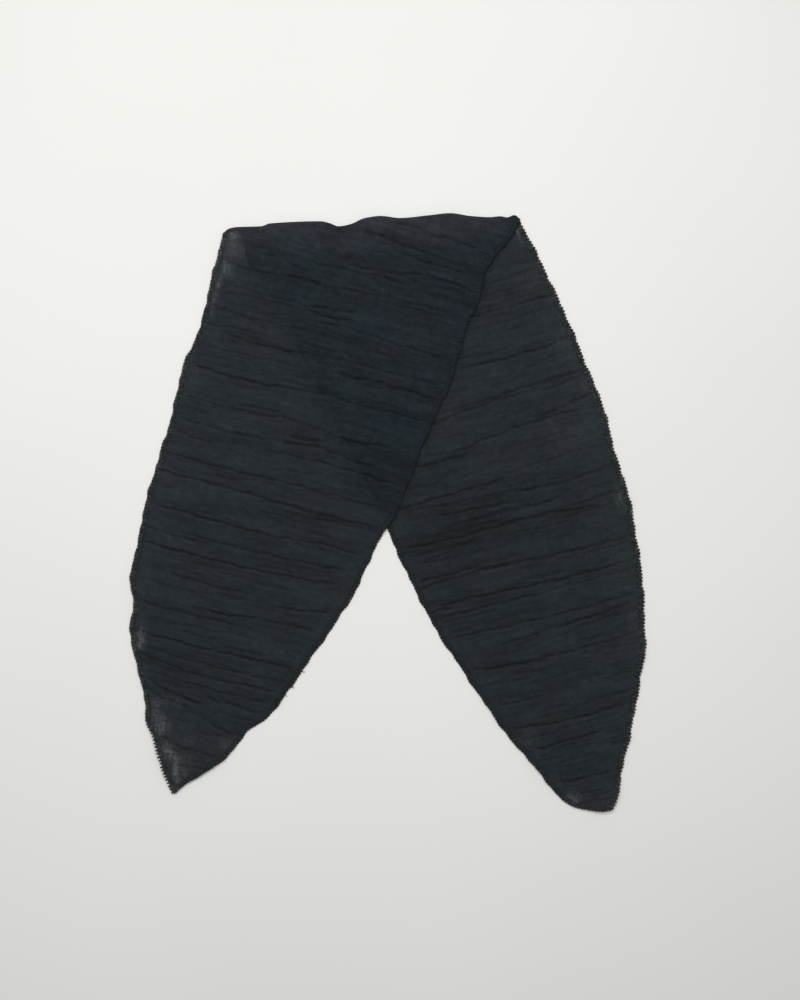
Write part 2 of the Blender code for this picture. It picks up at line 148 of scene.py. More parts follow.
FOLD_ROWS = [
    FoldRow(-123.6, 208.2, 0.0),
    FoldRow(-122.2, 210.4, 0.1),
    FoldRow(-120.6, 212.0, 0.1),
    FoldRow(-118.0, 213.3, 0.2),
    FoldRow(-113.5, 214.2, 0.3),
    FoldRow(-94.0, 214.9, 0.5),
    FoldRow(-88.0, 217.0, 0.6),
    FoldRow(-50.5, 218.6, 0.7),
    FoldRow(-43.0, 217.2, 0.4),
    FoldRow(-37.0, 215.0, 0.1),
    FoldRow(-28.0, 216.4, 0.4),
    FoldRow(-17.0, 220.9, 0.9),
    FoldRow(-5.0, 222.5, 1.0),
    FoldRow(9.5, 221.0, 0.7),
    FoldRow(30.0, 222.9, 0.8),
    FoldRow(47.0, 224.6, 0.9),
    FoldRow(62.0, 222.5, 0.6),
    FoldRow(77.0, 221.7, 0.4),
    FoldRow(84.5, 222.4, 0.4),
    FoldRow(89.6, 221.5, 0.3),
    FoldRow(94.8, 223.4, 0.3),
    FoldRow(96.8, 222.9, 0.1),
    FoldRow(98.2, 221.3, 0.0),
    FoldRow(99.2, 219.4, 0.0),
]

OVER_LEFT_EDGE = [
    EdgeRow(62.0, -207.0), EdgeRow(80.0, -208.0), EdgeRow(105.0, -209.0), EdgeRow(130.0, -208.2),
    EdgeRow(150.0, -210.5), EdgeRow(172.0, -214.0), EdgeRow(205.0, -213.2), EdgeRow(240.0, -215.0),
    EdgeRow(280.0, -216.5), EdgeRow(302.0, -214.8), EdgeRow(322.0, -215.0), EdgeRow(338.0, -212.0),
    EdgeRow(350.0, -206.8), EdgeRow(366.0, -205.2), EdgeRow(380.0, -201.0), EdgeRow(400.0, -189.8),
    EdgeRow(420.0, -180.6), EdgeRow(432.0, -176.8), EdgeRow(445.0, -168.0), EdgeRow(460.0, -159.0),
    EdgeRow(472.0, -150.5), EdgeRow(481.0, -143.5),
]

OVER_RIGHT_EDGE = [
    EdgeRow(0.0, 0.0), EdgeRow(19.0, -4.0), EdgeRow(34.0, -9.9), EdgeRow(46.0, -13.0),
    EdgeRow(62.0, -12.7), EdgeRow(78.0, -14.5), EdgeRow(92.0, -17.1), EdgeRow(127.0, -18.0),
    EdgeRow(146.0, -20.8), EdgeRow(182.0, -27.2), EdgeRow(224.0, -32.5), EdgeRow(246.0, -37.0),
    EdgeRow(262.0, -42.6), EdgeRow(280.0, -46.0), EdgeRow(298.0, -49.2), EdgeRow(320.0, -56.0),
    EdgeRow(360.0, -71.0), EdgeRow(380.0, -78.6), EdgeRow(400.0, -86.2), EdgeRow(411.0, -93.0),
    EdgeRow(421.0, -101.6), EdgeRow(440.0, -111.0), EdgeRow(452.0, -118.6), EdgeRow(461.0, -127.0),
    EdgeRow(472.0, -137.4), EdgeRow(481.0, -143.5),
]

UNDER_LEFT_EDGE = [
    EdgeRow(0.0, 1.0), EdgeRow(20.0, 7.5), EdgeRow(46.0, 17.5), EdgeRow(75.0, 27.0),
    EdgeRow(110.0, 36.0), EdgeRow(152.0, 46.0), EdgeRow(205.0, 59.0), EdgeRow(243.0, 66.8),
    EdgeRow(258.0, 69.3), EdgeRow(280.0, 73.8), EdgeRow(300.0, 78.5), EdgeRow(320.0, 83.6),
    EdgeRow(340.0, 90.1), EdgeRow(360.0, 97.9), EdgeRow(380.0, 105.2), EdgeRow(400.0, 113.4),
    EdgeRow(420.0, 121.5), EdgeRow(440.0, 133.1), EdgeRow(460.0, 142.0), EdgeRow(471.0, 148.5),
    EdgeRow(479.0, 155.5), EdgeRow(484.0, 166.5), EdgeRow(487.0, 176.0), EdgeRow(487.5, 182.0),
]

UNDER_RIGHT_EDGE = [
    EdgeRow(42.0, 213.0), EdgeRow(60.0, 218.2), EdgeRow(90.0, 225.2), EdgeRow(130.0, 233.3),
    EdgeRow(172.0, 240.0), EdgeRow(190.0, 243.3), EdgeRow(235.0, 244.6), EdgeRow(260.0, 247.0),
    EdgeRow(300.0, 245.0), EdgeRow(320.0, 243.5), EdgeRow(350.0, 238.4), EdgeRow(370.0, 234.4),
    EdgeRow(380.0, 232.0), EdgeRow(390.0, 227.5), EdgeRow(420.0, 215.0), EdgeRow(440.0, 206.0),
    EdgeRow(450.0, 200.5), EdgeRow(470.0, 192.0), EdgeRow(481.0, 187.2), EdgeRow(487.5, 182.0),
]

OVER_CREASES = [
    Crease(-83, -18, 27.5, 4.0, 1.0, 0.32),
    Crease(-105, -38, 41.5, 6.0, -0.5, 0.45),
    Crease(-38, -14, 44.5, -1.0, 0.5, 0.30),
    Crease(-80, -22, 48.3, 3.5, 1.0, 0.35),
    Crease(-118, -104, 57.0, 2.0, 0.0, 0.20),
    Crease(-66, -18, 61.6, 2.3, -2.6, 0.45),
    Crease(-115, -68, 62.0, -2.0, 2.3, 0.35),
    Crease(-146, -72, 69.0, -2.0, 0.2, 0.30),
    Crease(-192, -166, 72.0, 1.0, 0.5, 0.20),
    Crease(-163, -138, 73.5, 6.0, 2.0, 0.35),
    Crease(-128, -28, 83.5, -3.0, -1.5, 0.32),
    Crease(-203, -160, 84.0, 1.0, 2.5, 0.30),
    Crease(-158, -130, 84.4, 0.2, -0.8, 0.50),
    Crease(-132, -99, 99.8, -3.5, 0.8, 0.50),
    Crease(-202, -182, 100.8, 1.5, 0.0, 0.20),
    Crease(-132, -98, 105.8, -0.5, 0.6, 0.50),
    Crease(-196, -142, 106.3, -1.5, -0.3, 0.25),
    Crease(-200, -160, 113.2, 0.5, 0.5, 0.20),
    Crease(-96, -26, 113.3, 3.5, 1.0, 0.35),
    Crease(-116, -86, 118.0, 2.0, 0.5, 0.20),
    Crease(-200, -130, 120.0, 0.0, 1.3, 0.30),
    Crease(-104, -38, 123.2, 3.5, 1.0, 0.25),
    Crease(-204, -164, 132.3, -2.5, -0.6, 0.28),
    Crease(-95, -22, 135.3, -0.5, 0.6, 0.36),
    Crease(-133, -98, 136.8, -2.9, -0.4, 0.36),
    Crease(-186, -136, 138.1, 0.2, 0.8, 0.50),
    Crease(-100, -24, 146.8, 1.0, -1.2, 0.45),
    Crease(-205, -122, 149.0, -2.0, -0.3, 0.25),
    Crease(-186, -164, 161.0, 0.0, 0.4, 0.20),
    Crease(-206, -126, 165.2, -0.7, 2.2, 0.50),
    Crease(-123, -83, 165.2, 0.3, -2.1, 0.42),
    Crease(-80, -28, 165.2, -0.3, -0.6, 0.38),
    Crease(-166, -136, 185.3, -2.5, 0.0, 0.30),
    Crease(-206, -131, 188.7, -0.7, 1.8, 0.36),
    Crease(-128, -94, 189.3, 2.5, -0.3, 0.30),
    Crease(-88, -50, 191.6, -2.7, 0.4, 0.48),
    Crease(-206, -186, 197.5, 1.0, 0.0, 0.20),
    Crease(-124, -100, 198.5, -1.0, 1.2, 0.40),
    Crease(-128, -100, 204.3, -2.0, 0.0, 0.48),
    Crease(-96, -58, 205.5, 4.5, 0.8, 0.45),
    Crease(-204, -131, 205.7, -1.3, 2.2, 0.38),
    Crease(-180, -150, 215.0, -1.0, 0.3, 0.22),
    Crease(-134, -42, 215.6, 1.7, -1.8, 0.38),
    Crease(-207, -178, 218.0, 2.0, 0.3, 0.36),
    Crease(-124, -94, 224.0, -4.0, 0.0, 0.22),
    Crease(-208, -124, 234.2, 0.8, 1.3, 0.42),
    Crease(-120, -44, 235.2, 1.2, 0.2, 0.36),
    Crease(-182, -152, 242.1, -2.2, 0.2, 0.28),
    Crease(-213, -163, 248.5, 0.3, 0.2, 0.45),
    Crease(-158, -48, 250.0, 2.9, 1.0, 0.50),
    Crease(-108, -76, 255.8, -2.5, 0.0, 0.36),
    Crease(-132, -92, 259.8, 0.5, 0.3, 0.22),
    Crease(-97, -74, 266.3, -0.5, 0.0, 0.20),
    Crease(-210, -116, 274.9, 2.7, 0.3, 0.48),
    Crease(-112, -52, 275.0, -2.0, -2.0, 0.45),
    Crease(-132, -108, 283.2, -0.3, 0.3, 0.20),
    Crease(-182, -62, 289.0, -2.0, 1.3, 0.42),
    Crease(-210, -162, 292.5, 1.0, 0.5, 0.35),
    Crease(-129, -66, 302.0, -4.0, 0.2, 0.45),
    Crease(-212, -133, 303.5, 1.0, 0.6, 0.48),
    Crease(-122, -88, 312.5, -1.0, 0.3, 0.22),
    Crease(-196, -168, 314.0, 0.0, 0.3, 0.20),
    Crease(-186, -128, 321.5, 1.0, 1.3, 0.36),
    Crease(-101, -64, 324.3, -5.0, 0.3, 0.42),
    Crease(-202, -160, 330.5, 1.0, 0.4, 0.22),
    Crease(-111, -72, 338.1, -1.0, -0.5, 0.40),
    Crease(-160, -115, 340.2, -2.9, 1.1, 0.50),
    Crease(-202, -128, 347.0, 0.0, 0.6, 0.36),
    Crease(-102, -74, 351.0, -1.0, 0.0, 0.20),
    Crease(-192, -114, 355.1, -4.2, 0.6, 0.26),
    Crease(-138, -80, 369.0, -2.0, -0.1, 0.45),
    Crease(-200, -142, 369.5, 1.5, 0.3, 0.48),
    Crease(-192, -86, 379.5, 1.0, 1.8, 0.36),
    Crease(-194, -145, 387.1, 6.3, 1.2, 0.45),
    Crease(-140, -90, 389.5, -2.0, 0.0, 0.42),
    Crease(-178, -94, 397.5, 1.0, 0.9, 0.36),
    Crease(-135, -98, 406.0, 2.0, 0.0, 0.45),
    Crease(-182, -139, 406.2, 8.5, 2.2, 0.50),
    Crease(-176, -146, 414.0, 5.0, 0.2, 0.36),
    Crease(-118, -94, 414.2, -0.5, 0.3, 0.30),
    Crease(-131, -113, 425.2, 4.9, -0.3, 0.36),
    Crease(-180, -150, 425.5, 1.0, 0.3, 0.20),
    Crease(-152, -116, 430.8, -0.5, 0.5, 0.22),
    Crease(-163, -146, 443.2, 5.0, 0.5, 0.40),
    Crease(-146, -121, 446.5, -1.0, -0.8, 0.45),
    Crease(-170, -146, 447.2, 4.5, 0.4, 0.30),
    Crease(-160, -145, 452.2, 0.0, 0.4, 0.35),
    Crease(-144, -135, 453.4, -1.7, 0.0, 0.25),
    Crease(-148, -124, 458.2, -1.5, 0.2, 0.25),
]

UNDER_CREASES = [
    Crease(176, 216, 81.5, -5.0, 0.3, 0.30),
    Crease(168, 222, 90.2, -4.5, 0.4, 0.22),
    Crease(176, 226, 97.8, -2.5, 0.3, 0.20),
    Crease(150, 221, 102.9, -2.2, 0.8, 0.42),
    Crease(158, 214, 112.8, -1.5, 0.3, 0.20),
    Crease(150, 200, 120.0, -2.0, 0.3, 0.20),
    Crease(144, 182, 133.0, 0.0, 0.8, 0.30),
    Crease(152, 228, 138.6, -3.7, 1.5, 0.45),
    Crease(196, 230, 146.4, -7.2, 0.5, 0.32),
    Crease(160, 233, 164.5, -5.5, -0.2, 0.42),
    Crease(203, 238, 167.0, -5.5, 1.0, 0.34),
    Crease(112, 182, 172.8, -8.5, -1.2, 0.40),
    Crease(194, 237, 185.5, -9.5, -0.6, 0.45),
    Crease(138, 222, 194.6, -9.3, -2.2, 0.42),
    Crease(100, 138, 199.2, 2.5, 0.3, 0.26),
    Crease(86, 142, 202.2, -0.5, 3.1, 0.46),
    Crease(146, 214, 205.2, -4.5, 0.2, 0.22),
    Crease(84, 142, 219.2, 0.3, 1.6, 0.28),
    Crease(162, 230, 222.0, -6.0, -0.4, 0.30),
    Crease(76, 160, 230.3, -5.0, 0.2, 0.48),
    Crease(164, 238, 237.2, -2.7, 3.1, 0.42),
    Crease(84, 160, 237.3, 2.6, 0.0, 0.36),
    Crease(104, 158, 244.9, 1.8, 0.3, 0.42),
    Crease(204, 236, 249.5, -2.0, 0.0, 0.24),
    Crease(170, 199, 251.3, -1.4, 0.7, 0.50),
    Crease(108, 167, 252.8, -3.0, -0.6, 0.38),
    Crease(204, 242, 257.3, -4.0, 0.0, 0.34),
    Crease(98, 150, 257.7, -0.7, 0.4, 0.34),
    Crease(76, 140, 262.1, -0.3, 0.9, 0.48),
    Crease(143, 220, 262.6, 1.3, -1.8, 0.48),
    Crease(198, 222, 265.4, -3.2, 0.3, 0.36),
    Crease(80, 130, 269.2, -0.5, -0.3, 0.38),
    Crease(162, 198, 269.8, 0.5, 0.0, 0.32),
    Crease(86, 132, 275.9, -0.2, 1.3, 0.28),
    Crease(81, 126, 288.6, -1.2, 0.2, 0.48),
    Crease(128, 238, 290.6, 1.3, 1.5, 0.42),
    Crease(80, 156, 291.9, -3.8, -0.2, 0.38),
    Crease(131, 236, 309.4, -1.2, 1.3, 0.50),
    Crease(92, 128, 310.1, -0.3, -0.7, 0.45),
    Crease(80, 100, 313.5, -1.5, 0.0, 0.40),
    Crease(178, 240, 315.9, -2.2, 0.2, 0.28),
    Crease(90, 168, 318.7, -1.3, -0.4, 0.45),
    Crease(108, 172, 330.0, 0.0, 0.3, 0.22),
    Crease(168, 233, 334.6, -3.3, 0.8, 0.38),
    Crease(96, 164, 336.0, 0.5, 0.0, 0.45),
    Crease(172, 231, 342.4, -5.6, 0.8, 0.48),
    Crease(203, 238, 345.8, -0.5, 0.6, 0.34),
    Crease(128, 170, 347.2, -4.3, 0.2, 0.36),
    Crease(107, 167, 364.2, 2.8, 1.2, 0.45),
    Crease(170, 227, 364.3, -2.6, 0.0, 0.36),
    Crease(186, 231, 369.2, 0.5, 0.6, 0.28),
    Crease(126, 156, 374.0, 0.0, -0.3, 0.22),
    Crease(198, 220, 390.2, -1.5, 0.2, 0.30),
    Crease(118, 150, 392.4, 1.2, 1.0, 0.38),
    Crease(146, 168, 409.0, 0.0, 0.3, 0.20),
    Crease(126, 204, 412.3, 1.0, 2.6, 0.48),
    Crease(128, 166, 421.6, 1.3, 0.3, 0.28),
    Crease(140, 186, 430.0, -2.5, -0.2, 0.46),
    Crease(152, 178, 436.8, 0.5, 0.0, 0.20),
    Crease(192, 206, 440.0, 0.0, 0.3, 0.24),
    Crease(133, 156, 440.2, 0.3, 0.0, 0.20),
    Crease(148, 172, 448.2, 0.3, 0.0, 0.20),
    Crease(150, 188, 459.0, 0.0, 0.8, 0.36),
    Crease(163, 180, 471.0, 0.0, 0.3, 0.32),
    Crease(160, 186, 478.0, 0.0, 0.3, 0.22),
]

# Thin places. Most were picked as pixels of the photograph and turned into the stretch's frame by separate
# scripts, which also worked out most of the strengths, from the tones of the photograph and of renders.
OVER_PATCHES = [
    Patch(-200.7, 64.7, 4.1, 3.4, 0.71),
    Patch(-199.7, 73.9, 5.2, 6.0, 0.40),
    Patch(-189.4, 74.3, 6.0, 8.0, 0.26),
    Patch(-202.0, 88.6, 2.3, 5.2, 0.50),
    Patch(-198.1, 90.4, 3.2, 5.4, 0.33),
    Patch(-187.8, 99.4, 8.0, 11.0, 0.10),
    Patch(-203.3, 101.0, 1.9, 5.2, 0.50),
    Patch(-203.9, 114.0, 2.1, 5.8, 0.48),
    Patch(-202.8, 123.2, 1.8, 4.3, 0.31),
    Patch(-205.0, 176.0, 7.0, 10.0, 0.12),
    Patch(-196.0, 374.0, 4.0, 9.0, 0.52),
    Patch(-161.9, 413.7, 8.0, 6.0, 0.20),
    Patch(-172.9, 419.6, 4.0, 5.0, 0.29),
    Patch(-169.4, 427.7, 4.2, 3.8, 0.33),
    Patch(-164.4, 434.2, 6.0, 6.8, 0.54),
    Patch(-114.7, 436.0, 5.0, 5.0, 0.22),
    Patch(-144.2, 439.4, 8.0, 8.0, 0.13),
    Patch(-128.5, 445.6, 6.0, 5.0, 0.10),
    Patch(-156.5, 448.5, 5.6, 4.8, 0.49),
    Patch(-150.1, 453.8, 5.6, 4.4, 0.53),
    Patch(-138.0, 454.1, 5.0, 6.0, 0.27),
    Patch(-146.0, 463.1, 2.6, 6.2, 0.78),
    Patch(-139.4, 463.8, 3.0, 4.0, 0.33),
    Patch(-142.5, 470.3, 2.2, 2.2, 0.56),
]

UNDER_PATCHES = [
    Patch(211.3, 48.4, 1.9, 3.4, 0.89),
    Patch(212.5, 56.3, 1.9, 4.0, 0.39),
    Patch(207.7, 90.3, 12.0, 16.0, 0.07),
    Patch(229.0, 138.0, 7.0, 18.0, 0.10),
    Patch(219.5, 139.2, 10.0, 16.0, 0.07),
    Patch(235.0, 175.0, 7.0, 12.0, 0.12),
    Patch(120.0, 180.0, 20.0, 6.0, 0.06),
    Patch(204.4, 204.9, 14.0, 14.0, 0.09),
    Patch(226.0, 208.0, 14.0, 12.0, 0.09),
    Patch(76.0, 246.0, 6.0, 8.0, 0.13),
    Patch(170.0, 255.5, 11.0, 2.0, 0.11),
    Patch(240.0, 262.0, 4.0, 7.0, 0.34),
    Patch(228.0, 302.8, 12.0, 20.0, 0.07),
    Patch(231.0, 352.0, 6.0, 14.0, 0.09),
    Patch(222.3, 370.7, 10.0, 14.0, 0.03),
    Patch(134.0, 419.6, 7.0, 9.0, 0.16),
    Patch(146.5, 458.7, 5.0, 6.0, 0.11),
    Patch(155.0, 474.0, 7.0, 6.0, 0.44),
]

# Broad painted shade: beside the upper stretch's right edge, and where the two part below their crossing.
# Some come from the same separate scripts as the thin places, and the others were placed by eye.
OVER_SHADES = [
    Patch(-20.0, 60.0, 8.0, 28.0, 0.12),
    Patch(-24.0, 130.0, 9.0, 30.0, 0.16),
    Patch(-78.0, 178.0, 26.0, 22.0, 0.12),
    Patch(-33.0, 200.0, 10.0, 26.0, 0.30),
    Patch(-48.0, 212.0, 24.0, 30.0, 0.34),
]

UNDER_SHADES = [
    Patch(150.4, 138.6, 12.0, 16.0, 0.11),
    Patch(145.3, 260.6, 12.0, 12.0, 0.18),
    Patch(100.0, 262.0, 38.0, 30.0, 0.44),
    Patch(160.0, 262.0, 30.0, 20.0, 0.22),
    Patch(74.8, 265.9, 9.0, 12.0, 0.09),
]

# Lifted places, from the soft shadows that they throw on the table.
OVER_LIFTS = [
    Lift(-207, 84, 26, 2.8),
    Lift(-212, 172, 16, 0.8),
    Lift(-208, 352, 22, 1.7),
    Lift(-190, 402, 18, 1.6),
    Lift(-162, 456, 28, 4.2),
    Lift(-122, 454, 18, 1.8),
]

UNDER_LIFTS = [
    Lift(180, 487, 20, 3.4),
    Lift(138, 445, 20, 1.9),
    Lift(110, 398, 16, 1.0),
    Lift(247, 260, 16, 1.2),
    Lift(231, 380, 20, 1.1),
    Lift(201, 446, 16, 0.9),
]


def smooth_step(value: Array) -> Array:
    """Ease a value from 0 to 1 as it goes from 0 to 1."""
    t = np.clip(value, 0.0, 1.0)
    return t * t * (3.0 - 2.0 * t)


def smooth_table(at: Array, keys: Array, values: Array) -> Array:
    """Read a table on a smooth curve through its points that never swings past them.

    Args:
        at: Where to read it.
        keys: The table's growing keys.
        values: The value at each key.

    Returns:
        The value at each place.
    """
    step = np.diff(keys)
    rise = np.diff(values) / step
    product = rise[:-1] * rise[1:]
    total = rise[:-1] + rise[1:]
    inner = np.where(product > 0, 2 * product / np.where(total == 0, 1.0, total), 0.0)
    slopes = np.concatenate([rise[:1], inner, rise[-1:]])
    i = np.clip(np.searchsorted(keys, at, side="right") - 1, 0, len(keys) - 2)
    t = np.clip((at - keys[i]) / step[i], 0.0, 1.0)
    start = values[i] * (1 + 2 * t) * (1 - t) ** 2 + slopes[i] * step[i] * t * (1 - t) ** 2
    end = values[i + 1] * t * t * (3 - 2 * t) + slopes[i + 1] * step[i] * t * t * (t - 1)
    return start + end


def ripple(at: Array, seed: int, waves: Waves) -> Array:
    """Add up sine waves with seeded phases.

    Args:
        at: Where to read the sum.
        seed: Picks the phases.
        waves: The waves.

    Returns:
        The sum at each place.
    """
    phases = np.random.default_rng(seed).uniform(0.0, 2 * math.pi, len(waves.lengths))
    total = np.zeros_like(at)
    for length, height, phase in zip(waves.lengths, waves.heights, phases):
        total += height * np.sin(2 * math.pi * at / length + phase)
    return total


def near_tip(share: Array) -> Array:
    """Tell how near the tip places along an edge are, from 0 to 1 over its last stretch of open stitches."""
    return smooth_step((share - TIP_START) / TIP_EASE)


@dataclass(frozen=True)
class Stretch:
    """One half of the strip, from the fold to its pointed end, in a frame of its own."""

    name: str
    corner: tuple[float, float]
    turn: float
    left_edge: list[EdgeRow]
    right_edge: list[EdgeRow]
    creases: list[Crease]
    patches: list[Patch]
    shades: list[Patch]
    lifts: list[Lift]
    reach: dict[Side, float]
    tip_pull: dict[Side, float]
    glow: dict[Side, float]
    seed: int
    edge_waves: Waves = Waves((34.0, 17.0, 9.5), (0.35, 0.3, 0.18))
    fold_ease: float = 0.04
    tip_ease: float = 0.05

    def to_page(self, across: Array, along: Array) -> tuple[Array, Array]:
        """Place points of the stretch's frame on the page.

        Args:
            across: Across of each point.
            along: Along of each point.

        Returns:
            The x and the y of each point.
        """
        cos, sin = math.cos(self.turn), math.sin(self.turn)
        x = self.corner[0] + across * cos + along * sin
        return x, self.corner[1] + across * sin - along * cos

    def to_stretch(self, x: Array, y: Array) -> tuple[Array, Array]:
        """Place points of the page in the stretch's frame.

        Args:
            x: The x of each point.
            y: The y of each point.

        Returns:
            The across and the along of each point.
        """
        cos, sin = math.cos(self.turn), math.sin(self.turn)
        dx, dy = x - self.corner[0], y - self.corner[1]
        return dx * cos + dy * sin, dx * sin - dy * cos

    def edge_rows(self, side: Side) -> list[EdgeRow]:
        """Give the table of one cut edge."""
        return self.left_edge if side is Side.LEFT else self.right_edge

    def edge_at(self, side: Side, share: Array) -> tuple[Array, Array]:
        """Give the (across, along) of one cut edge, with its small waves and its reach past the table's line.

        Args:
            side: Which edge.
            share: How far down the edge, from 0 at the fold to 1 at the tip.

        Returns:
            The across and the along of each place.
        """
        rows = np.array(self.edge_rows(side))
        along = rows[0, 0] + (rows[-1, 0] - rows[0, 0]) * share
        across = smooth_table(along, rows[:, 0], rows[:, 1])
        wave = ripple(along, self.seed + side.value, self.edge_waves)
        ends = smooth_step(share / self.fold_ease) * smooth_step((1 - share) / self.tip_ease)
        reach = self.reach[side] - self.tip_pull[side] * near_tip(share)
        return across + wave * ends + side.value * reach * ends, along

    def outline(self, count: int = 240) -> Array:
        """Give the cut outline on the page, down the left edge and up the right one.

        Args:
            count: How many points each edge has.

        Returns:
            The points of the closed outline.
        """
        share = np.linspace(0.0, 1.0, count)
        left = np.stack(self.to_page(*self.edge_at(Side.LEFT, share)), axis=1)
        right = np.stack(self.to_page(*self.edge_at(Side.RIGHT, share)), axis=1)
        return np.concatenate([left, right[-2::-1]])

    def flat_area(self) -> float:
        """Work out the flat area of the cut.

        Returns:
            The area in square millimetres.
        """
        points = self.outline()
        after = np.roll(points, -1, axis=0)
        return abs(float(np.sum(points[:, 0] * after[:, 1] - points[:, 1] * after[:, 0]))) / 2


OVER = Stretch(
    "over", (95.6, 222.4), math.radians(-14), OVER_LEFT_EDGE, OVER_RIGHT_EDGE,
    OVER_CREASES, OVER_PATCHES, OVER_SHADES, OVER_LIFTS, reach={Side.LEFT: 0.0, Side.RIGHT: 1.35},
    tip_pull={Side.LEFT: 0.5, Side.RIGHT: 0.0}, glow={Side.LEFT: 0.075, Side.RIGHT: 0.03}, seed=11,
)
UNDER = Stretch(
    "under", (-119.6, 212.6), math.radians(13), UNDER_LEFT_EDGE, UNDER_RIGHT_EDGE,
    UNDER_CREASES, UNDER_PATCHES, UNDER_SHADES, UNDER_LIFTS, reach={Side.LEFT: 0.7, Side.RIGHT: 0.25},
    tip_pull={Side.LEFT: 0.0, Side.RIGHT: 0.0}, glow={Side.LEFT: 0.03, Side.RIGHT: 0.085}, seed=29,
)


def signed_distance(outline: Array, x: Array, y: Array) -> Array:
    """Measure how far points lie from an outline.

    Args:
        outline: The points of the closed outline.
        x: The x of each point, on the page.
        y: The y of each point.

    Returns:
        The distance of each point, as a negative number inside the outline.
    """
    nearest = np.full(x.shape, np.inf)
    inside = np.zeros(x.shape, bool)
    for a, b in zip(outline, np.roll(outline, -1, axis=0)):
        side = b - a
        t = np.clip(((x - a[0]) * side[0] + (y - a[1]) * side[1]) / (side @ side), 0.0, 1.0)
        nearest = np.minimum(nearest, np.hypot(x - a[0] - side[0] * t, y - a[1] - side[1] * t))
        if a[1] != b[1]:
            crosses = (a[1] > y) != (b[1] > y)
            inside ^= crosses & (x < a[0] + side[0] * (y - a[1]) / side[1])
    return np.where(inside, -nearest, nearest)


class Pressed(NamedTuple):
    """What creases do to a surface: its height, and the painted dark lines, soft shade and ridge highlights.
    """

    height: Array
    line: Array
    painted_shade: Array
    painted_highlight: Array


